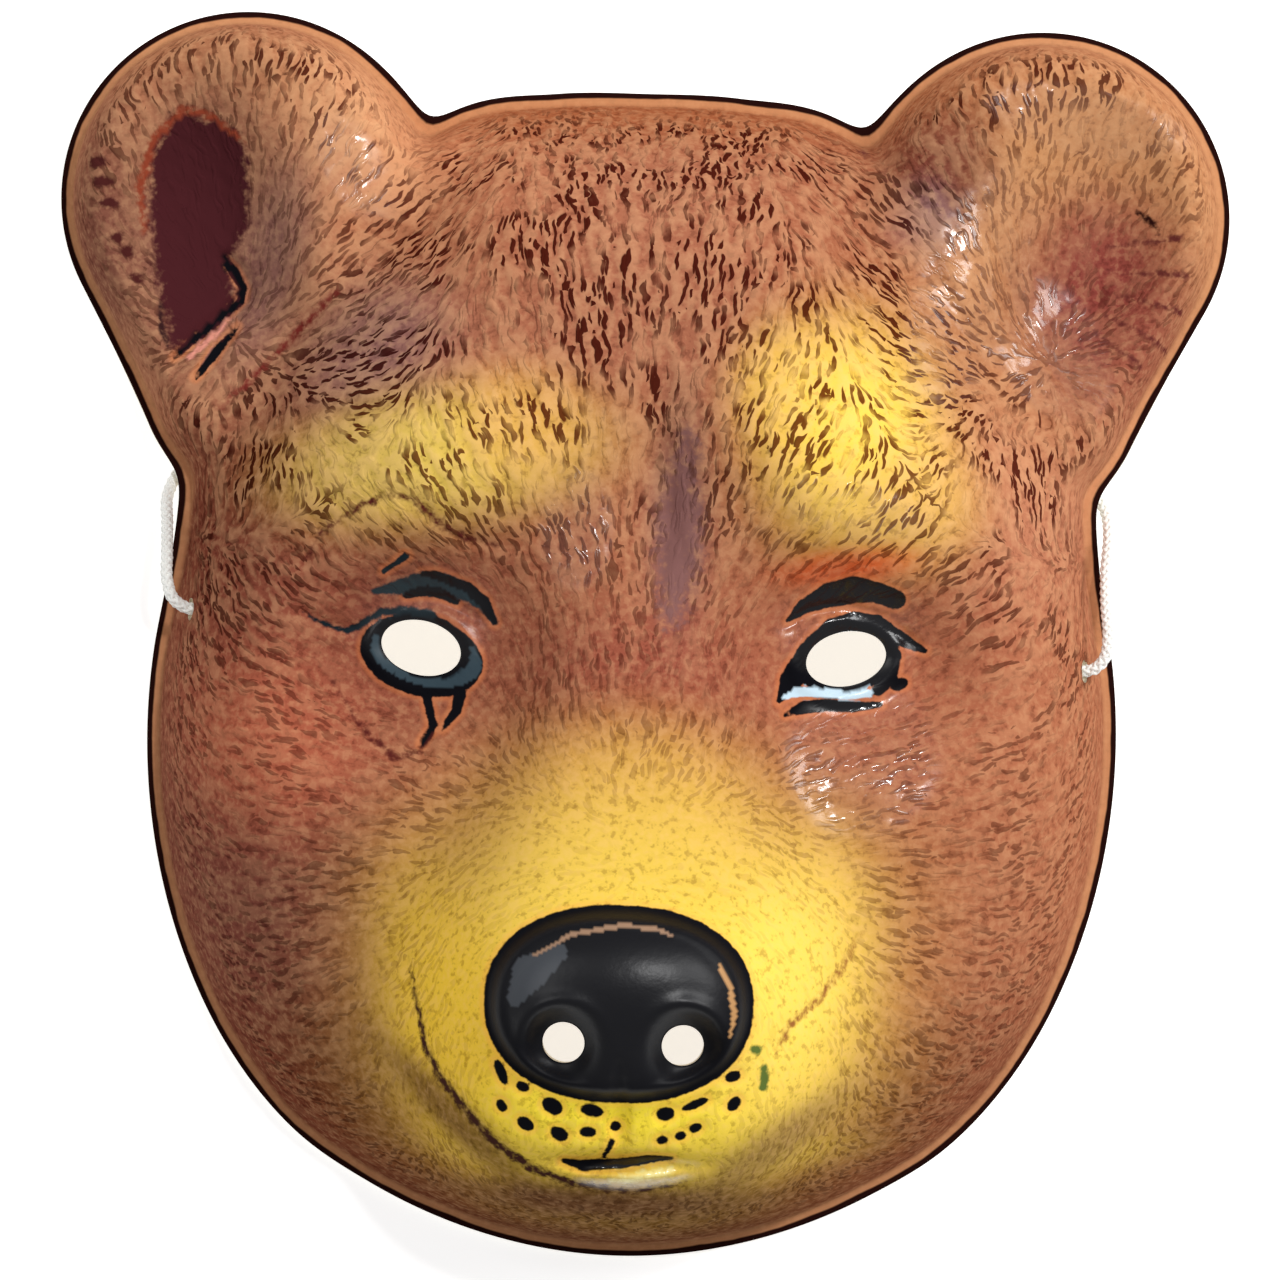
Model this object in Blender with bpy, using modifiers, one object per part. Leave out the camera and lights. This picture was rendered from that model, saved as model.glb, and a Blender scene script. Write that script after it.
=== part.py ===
"""A bear face mask, moulded from one thin plastic sheet, with its elastic.

The mask lies face up on its rim: +Z out of the face, +Y towards the ears, +X to
the picture's right. The origin is on the surface it lies on, under the middle of its box.
"""

import math
from collections import namedtuple

import bmesh
import bpy
import numpy as np
from mathutils import Matrix, Vector
from mathutils.geometry import delaunay_2d_cdt

# The face, measured from its middle, in metres
FACE_WIDTH = 0.1486
CHIN_DROP = 0.0946
NOSE_RISE = 0.0665

# The ears, each a round tip on a narrower foot
EAR_RADIUS = 0.0285
EAR_OUT = 0.061
EAR_UP = CHIN_DROP - EAR_RADIUS
EAR_FOOT_RADIUS = 0.0172
EAR_FOOT_OUT = 0.0593
EAR_FOOT_UP = 0.0395
EAR_RISE = 0.0165
EAR_NOTCH_ROUND = 0.005
EAR_FADE = 0.014

# The sheet, its rim and how steeply the sides stand on it
SHEET = 0.0008
LIP = 0.0018
EAR_SHOULDER = 0.008
TEMPLE_ARCH_RISE = 0.0062
TEMPLE_ARCH_UP = 0.0215
TEMPLE_ARCH_HALF = 0.0225

# The holes
EYE_LENGTH = 0.012
EYE_HEIGHT = 0.008
EYE_OUT = 0.0315
EYE_UP = -0.002
EYE_TILT = math.radians(13)
NOSTRIL_HOLE = 0.006
NOSTRIL_OUT = 0.0085
NOSTRIL_UP = -0.0576
TIE_HOLE = 0.0032
TIE_INSET = 0.0054
TIE_UP_LEFT = 0.0029
TIE_UP_RIGHT = -0.0030
PUNCH_REACH = 0.008

# The elastic, with a knot behind each of its holes
ELASTIC = 0.002
KNOT = 0.0052
KNOT_SEAT = 0.0003

# How finely the parts are meshed, and how finely their edges and routes are sought
RIM_POINTS = 144
SHEET_STEP = 0.0040
RIM_MARGIN = 0.6 * SHEET_STEP
EDGE_RAYS = 1440
RAY_STEPS = 400
HALVINGS = 40
SLOPE_STEP = 1e-5
PUNCH_SIDES = 24
KNOT_SIDES = 12
KNOT_RINGS = 8
ELASTIC_POINTS = 80
ROUTE_STEPS = 1600

# The head's outline: its reach as a share of the face's half width and chin drop,
# by the angle from straight up in the face stretched to equal halves
Reach = namedtuple("Reach", "degrees share shoulder")
HEAD_OUTLINE = [
    Reach(0, 0.885, 0.36),
    Reach(12, 0.900, 0.36),
    Reach(24, 0.930, 0.38),
    Reach(36, 0.905, 0.40),
    Reach(50, 0.895, 0.36),
    Reach(65, 0.915, 0.30),
    Reach(75, 0.945, 0.27),
    Reach(84, 0.960, 0.25),
    Reach(92, 0.990, 0.25),
    Reach(105, 1.028, 0.25),
    Reach(118, 1.052, 0.25),
    Reach(130, 1.061, 0.25),
    Reach(140, 1.054, 0.25),
    Reach(150, 1.030, 0.25),
    Reach(165, 1.007, 0.24),
    Reach(180, 1.000, 0.23),
]

# The rim's rows of points, as shares of the lip's width in from the edge
RIM_ROWS = (0.0, 0.6, 0.9, 1.4, 2.4, 4.0)

# Rises and hollows of the face: places and half sizes are shares of the half width
# and the chin drop, rises are shares of the nose's; a paired form is on both sides
Form = namedtuple("Form", "name across up half_width half_height tilt rise edge paired")
FACE_FORMS = [
    Form("forehead", 0.0, 0.50, 0.60, 0.36, 0, 0.090, 1.0, False),
    Form("brow", 0.40, 0.27, 0.25, 0.13, -12, 0.095, 1.2, True),
    Form("brow_groove", 0.04, 0.22, 0.06, 0.17, 0, -0.050, 1.0, False),
    Form("bridge", 0.0, -0.08, 0.22, 0.26, 0, 0.070, 1.0, False),
    Form("socket", 0.44, -0.03, 0.23, 0.115, -10, -0.130, 1.2, True),
    Form("lid", 0.42, -0.02, 0.14, 0.075, -10, 0.040, 1.5, True),
    Form("cheekbone", 0.62, -0.26, 0.26, 0.18, 24, 0.050, 1.0, True),
    Form("jowl", 0.62, -0.62, 0.26, 0.22, -24, 0.040, 1.0, True),
    Form("chin", 0.0, -0.90, 0.30, 0.10, 0, 0.040, 1.0, False),
    Form("nose_pad", 0.0, -0.547, 0.250, 0.145, 0, 0.075, 4.0, False),
    Form("nose_ball", 0.0, -0.500, 0.170, 0.090, 0, 0.030, 1.0, False),
    Form("nostril", 0.125, -0.615, 0.065, 0.045, 20, -0.045, 1.5, True),
    Form("mouth", 0.0, -0.795, 0.170, 0.018, 0, -0.035, 2.0, False),
    Form("lip_groove", 0.0, -0.735, 0.018, 0.050, 0, -0.020, 1.5, False),
]

# Sections across the muzzle, from between the eyes down to the chin
Section = namedtuple("Section", "up half_width rise")
MUZZLE_SECTIONS = [
    Section(0.10, 0.15, 0.000),
    Section(-0.05, 0.18, 0.050),
    Section(-0.20, 0.25, 0.160),
    Section(-0.34, 0.34, 0.285),
    Section(-0.48, 0.405, 0.385),
    Section(-0.62, 0.425, 0.420),
    Section(-0.75, 0.400, 0.385),
    Section(-0.86, 0.340, 0.290),
    Section(-1.00, 0.260, 0.130),
]
MUZZLE_EDGE = 2.2

# The face's crown and how it falls away from it, as shares of the nose's rise, and how
# sharply the face and the ears meet
FACE_CROWN = 0.545
FACE_FALL_ACROSS = 0.110
FACE_FALL_DOWN = 0.130
EAR_BLEND = 5

# Rises and hollows of an ear: shares of the ear's radius from its tip's middle,
# and of its rise
EAR_FORMS = [
    Form("hollow", 0.18, -0.22, 0.50, 0.72, -22, -0.55, 1.5, False),
    Form("inner_fold", -0.42, -0.42, 0.26, 0.50, -30, 0.18, 1.0, False),
]

# The elastic's route: out of the right hole, under the rim at the temple arch, along
# the surface inside the mask, and back under the left arch to the left hole
Stop = namedtuple("Stop", "x y z")
ELASTIC_ROUTE = [
    Stop(0.0676, -0.0031, 0.0119),
    Stop(0.0700, -0.0025, 0.0127),
    Stop(0.0714, -0.0008, 0.0131),
    Stop(0.0718, 0.0020, 0.0130),
    Stop(0.0715, 0.0070, 0.0118),
    Stop(0.0715, 0.0125, 0.0098),
    Stop(0.0720, 0.0178, 0.0073),
    Stop(0.0716, 0.0214, 0.0051),
    Stop(0.0697, 0.0246, 0.0034),
    Stop(0.0661, 0.0270, 0.0021),
    Stop(0.0612, 0.0282, 0.0013),
    Stop(0.0560, 0.0276, 0.0011),
    Stop(0.0518, 0.0250, 0.0011),
    Stop(0.0492, 0.0205, 0.0011),
    Stop(0.0482, 0.0140, 0.0011),
    Stop(0.0470, 0.0000, 0.0011),
    Stop(0.0428, -0.0140, 0.0011),
    Stop(0.0345, -0.0265, 0.0011),
    Stop(0.0225, -0.0360, 0.0011),
    Stop(0.0080, -0.0408, 0.0011),
    Stop(-0.0080, -0.0405, 0.0011),
    Stop(-0.0225, -0.0350, 0.0011),
    Stop(-0.0345, -0.0250, 0.0011),
    Stop(-0.0430, -0.0115, 0.0011),
    Stop(-0.0472, 0.0020, 0.0011),
    Stop(-0.0486, 0.0140, 0.0011),
    Stop(-0.0498, 0.0212, 0.0011),
    Stop(-0.0526, 0.0260, 0.0011),
    Stop(-0.0568, 0.0280, 0.0011),
    Stop(-0.0620, 0.0284, 0.0014),
    Stop(-0.0668, 0.0268, 0.0022),
    Stop(-0.0701, 0.0242, 0.0035),
    Stop(-0.0717, 0.0208, 0.0054),
    Stop(-0.0715, 0.0155, 0.0089),
    Stop(-0.0712, 0.0110, 0.0115),
    Stop(-0.0709, 0.0070, 0.0131),
    Stop(-0.0699, 0.0044, 0.0134),
    Stop(-0.0682, 0.0032, 0.0129),
    Stop(-0.0665, 0.0028, 0.0122),
]


def between(rows, at, level_ends=True):
    """A smooth curve through a table's rows, read at the given places."""
    table = np.array(rows, float)
    if table[0, 0] > table[-1, 0]:
        table = table[::-1]
    places = table[:, 0]
    at = np.clip(at, places[0], places[-1])
    left = np.clip(np.searchsorted(places, at) - 1, 0, len(places) - 2)
    gap = places[left + 1] - places[left]
    share = (at - places[left]) / gap
    curves = []
    for values in table[:, 1:].T:
        slopes = np.gradient(values, places)
        if level_ends:
            slopes[0] = slopes[-1] = 0
        curves.append(
            values[left] * (2 * share**3 - 3 * share**2 + 1)
            + values[left + 1] * (3 * share**2 - 2 * share**3)
            + slopes[left] * gap * (share**3 - 2 * share**2 + share)
            + slopes[left + 1] * gap * (share**3 - share**2)
        )
    return curves


def run_along(line):
    """How far along a line of points each of them is."""
    gaps = np.linalg.norm(np.diff(line, axis=0), axis=1)
    return np.concatenate([[0], np.cumsum(gaps)])


def face_edge(x, y):
    """How far points lie inside the head's own outline, and how wide its shoulder is."""
    across = np.abs(x) / (FACE_WIDTH / 2)
    up = y / CHIN_DROP
    stretched = np.maximum(np.hypot(across, up), 1e-6)
    reach, shoulder = between(HEAD_OUTLINE, np.degrees(np.arctan2(across, up)))
    length = np.hypot(x, y)
    scale = np.where(length > 0, length / stretched, CHIN_DROP)
    return reach * scale - length, shoulder * CHIN_DROP


def ear_inset(x, y):
    """How far points lie inside an ear's outline, two discs and their tangents."""
    foot = np.array([EAR_FOOT_OUT - EAR_OUT, EAR_FOOT_UP - EAR_UP])
    length = np.hypot(*foot)
    along = ((np.abs(x) - EAR_OUT) * foot[0] + (y - EAR_UP) * foot[1]) / length
    aside = np.abs((np.abs(x) - EAR_OUT) * foot[1] - (y - EAR_UP) * foot[0]) / length
    narrowing = (EAR_RADIUS - EAR_FOOT_RADIUS) / length
    level = math.sqrt(1 - narrowing**2)
    place = along * level - aside * narrowing
    side = EAR_RADIUS - aside * level - along * narrowing
    tip = EAR_RADIUS - np.hypot(aside, along)
    end = EAR_FOOT_RADIUS - np.hypot(aside, along - length)
    return np.where(place < 0, tip, np.where(place > level * length, end, side))


def inset(x, y):
    """How far points lie inside the mask's whole outline, its notches rounded."""
    face, ear = face_edge(x, y)[0], ear_inset(x, y)
    return (face + ear + np.hypot(face - ear, EAR_NOTCH_ROUND)) / 2


def form_height(form, across, up):
    """One form's height at points given in shares from the table's own middle."""
    turn = math.radians(form.tilt)
    dx = across - form.across
    dy = up - form.up
    along = (dx * math.cos(turn) + dy * math.sin(turn)) / form.half_width
    aside = (dy * math.cos(turn) - dx * math.sin(turn)) / form.half_height
    return form.rise * np.exp(-((along**2 + aside**2) ** form.edge))


def side_wall(depth, width):
    """The side wall's rise, as a share, at a depth in from its foot."""
    return 1 - (1 - np.clip(depth / width, 0, 1)) ** 3


def face_relief(x, y):
    """The face's height, as if its sides fell away beyond the edge."""
    across = x / (FACE_WIDTH / 2)
    up = y / CHIN_DROP
    height = FACE_CROWN - FACE_FALL_ACROSS * across**2 - FACE_FALL_DOWN * up**2
    for form in FACE_FORMS:
        height = height + form_height(form, np.abs(across) if form.paired else across, up)
    half_width, rise = between(MUZZLE_SECTIONS, up)
    height = height + rise * np.exp(-((across / half_width) ** 2) ** MUZZLE_EDGE)
    return NOSE_RISE * height


def ear_relief(x, y):
    """An ear's height: a thick roll round a hollow."""
    across = (np.abs(x) - EAR_OUT) / EAR_RADIUS
    up = (y - EAR_UP) / EAR_RADIUS
    height = 1.0
    for form in EAR_FORMS:
        height = height + form_height(form, across, up)
    return EAR_RISE * height


def rim_height(y):
    """The rim's height: flat, but for the arch at each temple."""
    share = np.clip(np.abs(y - TEMPLE_ARCH_UP) / TEMPLE_ARCH_HALF, 0, 1)
    return TEMPLE_ARCH_RISE * (1 - share**2) ** 2


def outer_height(x, y):
    """The height of the sheet's outer face."""
    depth, shoulder = face_edge(x, y)
    edge = inset(x, y) - LIP
    face = face_relief(x, y) * side_wall(depth - LIP, shoulder)
    near_ear = np.clip(1 + ear_inset(x, y) / EAR_FADE, 0, 1)
    fade = near_ear**2 * (3 - 2 * near_ear)
    ear = ear_relief(x, y) * side_wall(edge, EAR_SHOULDER) * fade
    raised = (face**EAR_BLEND + ear**EAR_BLEND) ** (1 / EAR_BLEND)
    rim = rim_height(y) * (1 - side_wall(edge, shoulder))
    return SHEET + rim + raised


def slopes(height, x, y):
    """How steeply a height over the plan rises along X and along Y."""
    step = SLOPE_STEP
    slope_x = (height(x + step, y) - height(x - step, y)) / (2 * step)
    slope_y = (height(x, y + step) - height(x, y - step)) / (2 * step)
    return slope_x, slope_y


def outward(x, y):
    """The direction square to the sheet's outer face at one point."""
    slope_x, slope_y = slopes(outer_height, x, y)
    return Vector((-slope_x, -slope_y, 1)).normalized()


def outline():
    """The mask's edge, as points at even steps round it."""
    angles = np.linspace(0, 2 * math.pi, EDGE_RAYS, endpoint=False)
    scan = np.linspace(0, EAR_OUT + EAR_UP + EAR_RADIUS, RAY_STEPS)
    across = np.outer(scan, np.sin(angles))
    up = np.outer(scan, np.cos(angles))
    last = RAY_STEPS - 1 - np.argmax(inset(across, up)[::-1] > 0, axis=0)
    near = scan[last]
    far = scan[last + 1]
    for _ in range(HALVINGS):
        middle = (near + far) / 2
        within = inset(middle * np.sin(angles), middle * np.cos(angles)) > 0
        near = np.where(within, middle, near)
        far = np.where(within, far, middle)
    edge = np.column_stack([near * np.sin(angles), near * np.cos(angles)])
    edge = np.vstack([edge, edge[:1]])
    run = run_along(edge)
    steps = np.linspace(0, run[-1], RIM_POINTS, endpoint=False)
    return np.interp(steps, run, edge[:, 0]), np.interp(steps, run, edge[:, 1])


def moved_in(x, y, depth):
    """Points of the edge moved squarely in from it."""
    slope_x, slope_y = slopes(inset, x, y)
    size = np.hypot(slope_x, slope_y)
    return x + depth * slope_x / size, y + depth * slope_y / size


def sheet_points():
    """Plan points of the sheet: rows along its rim, then an even field inside them."""
    edge_x, edge_y = outline()
    points = []
    for share in RIM_ROWS:
        points.extend(zip(*moved_in(edge_x, edge_y, share * LIP)))
    row_gap = SHEET_STEP * math.sqrt(3) / 2
    reach_x = EAR_OUT + EAR_RADIUS
    rows = int(2 * CHIN_DROP / row_gap) + 4
    columns = int(2 * reach_x / SHEET_STEP) + 2
    for row in range(rows):
        y = -CHIN_DROP + row * row_gap
        for column in range(columns):
            x = (column - columns / 2 + (row % 2) / 2) * SHEET_STEP
            if inset(x, y) > RIM_ROWS[-1] * LIP + RIM_MARGIN:
                points.append((x, y))
    return points


def make_shell(material, collection, punches):
    """The moulded sheet: one open surface over the face and ears, made thick and punched."""
    points = [Vector(point) for point in sheet_points()]
    edge = [list(range(RIM_POINTS))]
    flat, _, faces, *_ = delaunay_2d_cdt(points, [], edge, 1, 1e-7)
    x = np.array([point.x for point in flat])
    y = np.array([point.y for point in flat])
    mesh = bpy.data.meshes.new("mask_shell")
    mesh.from_pydata(np.column_stack([x, y, outer_height(x, y)]).tolist(), [], faces)
    shell = add_object("mask_shell", mesh, material, collection)
    thicken = shell.modifiers.new("sheet", "SOLIDIFY")
    thicken.thickness = SHEET
    thicken.offset = -1
    thicken.use_even_offset = True
    thicken.use_quality_normals = True
    punch = shell.modifiers.new("holes", "BOOLEAN")
    punch.operand_type = "COLLECTION"
    punch.collection = punches
    punch.solver = "EXACT"


def on_sheet(x, y):
    """The point of the sheet's outer face over a plan point."""
    return Vector((x, y, float(outer_height(x, y))))


def tie_place(side):
    """Where the elastic's hole is on the sheet's outer face, at one side."""
    up = TIE_UP_RIGHT if side > 0 else TIE_UP_LEFT
    inner, outer = 0, FACE_WIDTH
    for _ in range(HALVINGS):
        middle = (inner + outer) / 2
        if inset(middle, up) > TIE_INSET:
            inner = middle
        else:
            outer = middle
    return on_sheet(side * inner, up)


def plain_material(name, colour, roughness):
    """A plain material that isn't metal."""
    material = bpy.data.materials.new(name)
    material.use_nodes = True
    shader = material.node_tree.nodes["Principled BSDF"]
    shader.inputs["Base Color"].default_value = (*colour, 1)
    shader.inputs["Roughness"].default_value = roughness
    shader.inputs["Metallic"].default_value = 0
    return material


def add_object(name, mesh, material, collection):
    """A named object with its mesh shaded smooth."""
    mesh.shade_smooth()
    mesh.materials.append(material)
    thing = bpy.data.objects.new(name, mesh)
    collection.objects.link(thing)
    return thing


def make_punch(name, place, axis, length, height, tilt, collection):
    """An oval punch through the sheet, along an axis."""
    model = bmesh.new()
    bmesh.ops.create_cone(
        model,
        cap_ends=True,
        segments=PUNCH_SIDES,
        radius1=0.5,
        radius2=0.5,
        depth=2 * PUNCH_REACH,
    )
    bmesh.ops.scale(model, vec=(length, height, 1), verts=model.verts)
    turn = axis.to_track_quat("Z", "Y").to_matrix() @ Matrix.Rotation(tilt, 3, "Z")
    bmesh.ops.rotate(model, matrix=turn, verts=model.verts)
    mesh = bpy.data.meshes.new(name)
    model.to_mesh(mesh)
    model.free()
    punch = bpy.data.objects.new(name, mesh)
    punch.location = place
    punch.hide_render = True
    punch.display_type = "WIRE"
    collection.objects.link(punch)


def make_punches(collection):
    """The punches for the eyes, the nostrils and the elastic."""
    straight = Vector((0, 0, 1))
    for side, end in ((-1, "left"), (1, "right")):
        eye = on_sheet(side * EYE_OUT, EYE_UP)
        tilt = side * EYE_TILT
        make_punch(f"eye_{end}", eye, straight, EYE_LENGTH, EYE_HEIGHT, tilt, collection)
        nostril = on_sheet(side * NOSTRIL_OUT, NOSTRIL_UP)
        make_punch(
            f"nostril_{end}", nostril, straight, NOSTRIL_HOLE, NOSTRIL_HOLE, 0, collection
        )
        tie = tie_place(side)
        axis = outward(tie.x, tie.y)
        make_punch(f"tie_{end}", tie, axis, TIE_HOLE, TIE_HOLE, 0, collection)


def make_knot(side, name, material, collection):
    """The knot that keeps the elastic from slipping out, seated behind its hole."""
    tie = tie_place(side)
    inward = -outward(tie.x, tie.y)
    model = bmesh.new()
    bmesh.ops.create_uvsphere(
        model, u_segments=KNOT_SIDES, v_segments=KNOT_RINGS, radius=KNOT / 2
    )
    mesh = bpy.data.meshes.new(name)
    model.to_mesh(mesh)
    model.free()
    knot = add_object(name, mesh, material, collection)
    knot.location = tie + inward * (SHEET + KNOT_SEAT + KNOT / 2)
    knot.rotation_euler = inward.to_track_quat("Z", "Y").to_euler()


def make_elastic(material, collection):
    """One round elastic, from hole to hole, as a tube along its route."""
    stops = np.array(ELASTIC_ROUTE)
    run = run_along(stops)
    places = np.linspace(0, run[-1], ROUTE_STEPS)
    line = np.column_stack(between(np.column_stack([run, stops]), places, False))
    run = run_along(line)
    curve = bpy.data.curves.new("elastic", "CURVE")
    curve.dimensions = "3D"
    curve.bevel_depth = ELASTIC / 2
    curve.bevel_resolution = 2
    curve.use_fill_caps = True
    spline = curve.splines.new("POLY")
    spline.points.add(ELASTIC_POINTS - 1)
    for point, step in zip(spline.points, np.linspace(0, run[-1], ELASTIC_POINTS)):
        place = [np.interp(step, run, line[:, axis]) for axis in range(3)]
        point.co = (*place, 1)
    curve.materials.append(material)
    collection.objects.link(bpy.data.objects.new("elastic", curve))


for old in list(bpy.data.objects):
    bpy.data.objects.remove(old, do_unlink=True)
bear_mask = bpy.data.collections.new("bear_mask")
punches = bpy.data.collections.new("punches")
for group in (bear_mask, punches):
    bpy.context.scene.collection.children.link(group)
fur_brown = plain_material("fur_brown", (0.34, 0.13, 0.06), 0.3)
elastic_white = plain_material("elastic_white", (0.85, 0.85, 0.82), 0.8)
make_punches(punches)
make_shell(fur_brown, bear_mask, punches)
make_knot(-1, "knot_left", elastic_white, bear_mask)
make_knot(1, "knot_right", elastic_white, bear_mask)
make_elastic(elastic_white, bear_mask)
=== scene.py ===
"""The looks of a bear face mask: one moulded and airbrushed plastic sheet, and its elastic.

Sizes are in metres, but for the paint's places and sizes, which are in millimetres.
"""

import math
from collections import namedtuple

import bpy
import numpy as np
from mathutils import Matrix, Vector
from mathutils.geometry import delaunay_2d_cdt


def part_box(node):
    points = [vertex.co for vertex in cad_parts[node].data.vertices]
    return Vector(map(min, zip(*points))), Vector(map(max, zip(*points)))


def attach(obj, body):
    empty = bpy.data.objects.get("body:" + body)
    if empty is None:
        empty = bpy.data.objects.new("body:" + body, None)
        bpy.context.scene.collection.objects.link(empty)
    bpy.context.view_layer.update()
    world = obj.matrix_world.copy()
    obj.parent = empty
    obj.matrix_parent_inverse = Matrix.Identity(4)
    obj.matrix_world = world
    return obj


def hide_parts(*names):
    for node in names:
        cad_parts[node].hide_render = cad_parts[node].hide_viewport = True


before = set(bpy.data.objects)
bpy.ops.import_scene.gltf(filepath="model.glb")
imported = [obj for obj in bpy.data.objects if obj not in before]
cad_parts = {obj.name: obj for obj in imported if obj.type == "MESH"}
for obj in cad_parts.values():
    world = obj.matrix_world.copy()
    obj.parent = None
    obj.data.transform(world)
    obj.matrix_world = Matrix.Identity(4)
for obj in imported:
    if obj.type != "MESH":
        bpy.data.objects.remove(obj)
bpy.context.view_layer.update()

# Camera
# It looks straight down on the mask from 0.85 m. The mask lies turned a little
# clockwise in the picture, so the camera turns the other way.
CAMERA_HEIGHT = 0.85
CAMERA_TURN = math.radians(1.5)
CAMERA_MIDDLE = (0.0009, 0.0)
IMAGE_SIDE = 1280
PIXELS_PER_METRE = 6500
SENSOR_WIDTH = 36

camera_data = bpy.data.cameras.new("camera")
camera_data.sensor_width = SENSOR_WIDTH
camera_data.lens = SENSOR_WIDTH * CAMERA_HEIGHT * PIXELS_PER_METRE / IMAGE_SIDE
camera = bpy.data.objects.new("camera", camera_data)
camera.location = (*CAMERA_MIDDLE, CAMERA_HEIGHT)
camera.rotation_euler = (0, 0, CAMERA_TURN)
bpy.context.scene.collection.objects.link(camera)
bpy.context.scene.camera = camera
bpy.context.scene.view_settings.view_transform = "Standard"

# Elastic
# A round white elastic: eight threads braided over a soft core. Each end goes through a
# punched hole in the mask's side, and the loop between them lies under the mask.
ELASTIC = 0.002
THREADS = 8
THREAD = 0.00062
BRAID_PITCH = 0.005
BRAID_WEAVE = 0.00008
BRAID_STEP = 0.0003
CORE_SHARE = 0.62
THREAD_SIDES = 6
CORE_SIDES = 10
ROUTE_STEPS = 1600
LINE_POINTS = 480

Stop = namedtuple("Stop", "x y z")
ELASTIC_ROUTE = [
    Stop(0.0676, -0.0031, 0.0119),
    Stop(0.0700, -0.0025, 0.0127),
    Stop(0.0714, -0.0008, 0.0131),
    Stop(0.0718, 0.0020, 0.0130),
    Stop(0.0715, 0.0070, 0.0118),
    Stop(0.0715, 0.0125, 0.0098),
    Stop(0.0720, 0.0178, 0.0073),
    Stop(0.0716, 0.0214, 0.0051),
    Stop(0.0697, 0.0246, 0.0034),
    Stop(0.0661, 0.0270, 0.0021),
    Stop(0.0612, 0.0282, 0.0013),
    Stop(0.0560, 0.0276, 0.0011),
    Stop(0.0518, 0.0250, 0.0011),
    Stop(0.0492, 0.0205, 0.0011),
    Stop(0.0482, 0.0140, 0.0011),
    Stop(0.0470, 0.0000, 0.0011),
    Stop(0.0428, -0.0140, 0.0011),
    Stop(0.0345, -0.0265, 0.0011),
    Stop(0.0225, -0.0360, 0.0011),
    Stop(0.0080, -0.0408, 0.0011),
    Stop(-0.0080, -0.0405, 0.0011),
    Stop(-0.0225, -0.0350, 0.0011),
    Stop(-0.0345, -0.0250, 0.0011),
    Stop(-0.0430, -0.0115, 0.0011),
    Stop(-0.0472, 0.0020, 0.0011),
    Stop(-0.0486, 0.0140, 0.0011),
    Stop(-0.0498, 0.0212, 0.0011),
    Stop(-0.0526, 0.0260, 0.0011),
    Stop(-0.0568, 0.0280, 0.0011),
    Stop(-0.0620, 0.0284, 0.0014),
    Stop(-0.0668, 0.0268, 0.0022),
    Stop(-0.0701, 0.0242, 0.0035),
    Stop(-0.0717, 0.0208, 0.0054),
    Stop(-0.0715, 0.0155, 0.0089),
    Stop(-0.0712, 0.0110, 0.0115),
    Stop(-0.0709, 0.0070, 0.0131),
    Stop(-0.0699, 0.0044, 0.0134),
    Stop(-0.0682, 0.0032, 0.0129),
    Stop(-0.0665, 0.0028, 0.0122),
]


def between(rows, at, level_ends=True):
    """A smooth curve through a table's rows, read at the given places."""
    table = np.array(rows, float)
    if table[0, 0] > table[-1, 0]:
        table = table[::-1]
    places = table[:, 0]
    at = np.clip(at, places[0], places[-1])
    left = np.clip(np.searchsorted(places, at) - 1, 0, len(places) - 2)
    gap = places[left + 1] - places[left]
    share = (at - places[left]) / gap
    curves = []
    for values in table[:, 1:].T:
        slopes = np.gradient(values, places)
        if level_ends:
            slopes[0] = slopes[-1] = 0
        curves.append(
            values[left] * (2 * share**3 - 3 * share**2 + 1)
            + values[left + 1] * (3 * share**2 - 2 * share**3)
            + slopes[left] * gap * (share**3 - 2 * share**2 + share)
            + slopes[left + 1] * gap * (share**3 - share**2)
        )
    return curves


def run_along(line):
    """How far along a line of points each of them is."""
    gaps = np.linalg.norm(np.diff(line, axis=0), axis=1)
    return np.concatenate([[0], np.cumsum(gaps)])


def smooth_line(stops, count):
    """Evenly spaced points on a smooth curve through a route's stops."""
    stops = np.array(stops)
    run = run_along(stops)
    places = np.linspace(0, run[-1], ROUTE_STEPS)
    line = np.column_stack(between(np.column_stack([run, stops]), places, False))
    run = run_along(line)
    even = np.linspace(0, run[-1], count)
    return np.column_stack([np.interp(even, run, line[:, axis]) for axis in range(3)])


def add_node(tree, kind, settings=None, **inputs):
    """A new node, its settings made and its inputs given a value or linked."""
    node = tree.nodes.new(kind)
    for name, value in (settings or {}).items():
        setattr(node, name, value)
    for name, value in inputs.items():
        key = int(name[2:]) if name.startswith("in") and name[2:].isdigit() else None
        label = name.replace("_", " ")
        socket = node.inputs[key] if key is not None else node.inputs[label]
        if isinstance(value, bpy.types.NodeSocket):
            tree.links.new(value, socket)
        else:
            socket.default_value = value
    return node


def maths(tree, operation, *values):
    """The result of a sum on numbers or sockets."""
    inputs = {f"in{index}": value for index, value in enumerate(values)}
    return add_node(tree, "ShaderNodeMath", {"operation": operation}, **inputs).outputs[0]


def vectors(tree, operation, *values):
    """The result of a vector sum, a number where the sum gives one."""
    inputs = {f"in{index}": value for index, value in enumerate(values)}
    node = add_node(tree, "ShaderNodeVectorMath", {"operation": operation}, **inputs)
    return node.outputs["Value" if operation in ("DOT_PRODUCT", "LENGTH") else "Vector"]


def scaled(tree, vector, scale):
    """A vector made longer or shorter."""
    kind = {"operation": "SCALE"}
    return add_node(tree, "ShaderNodeVectorMath", kind, Vector=vector, Scale=scale).outputs[0]


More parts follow.
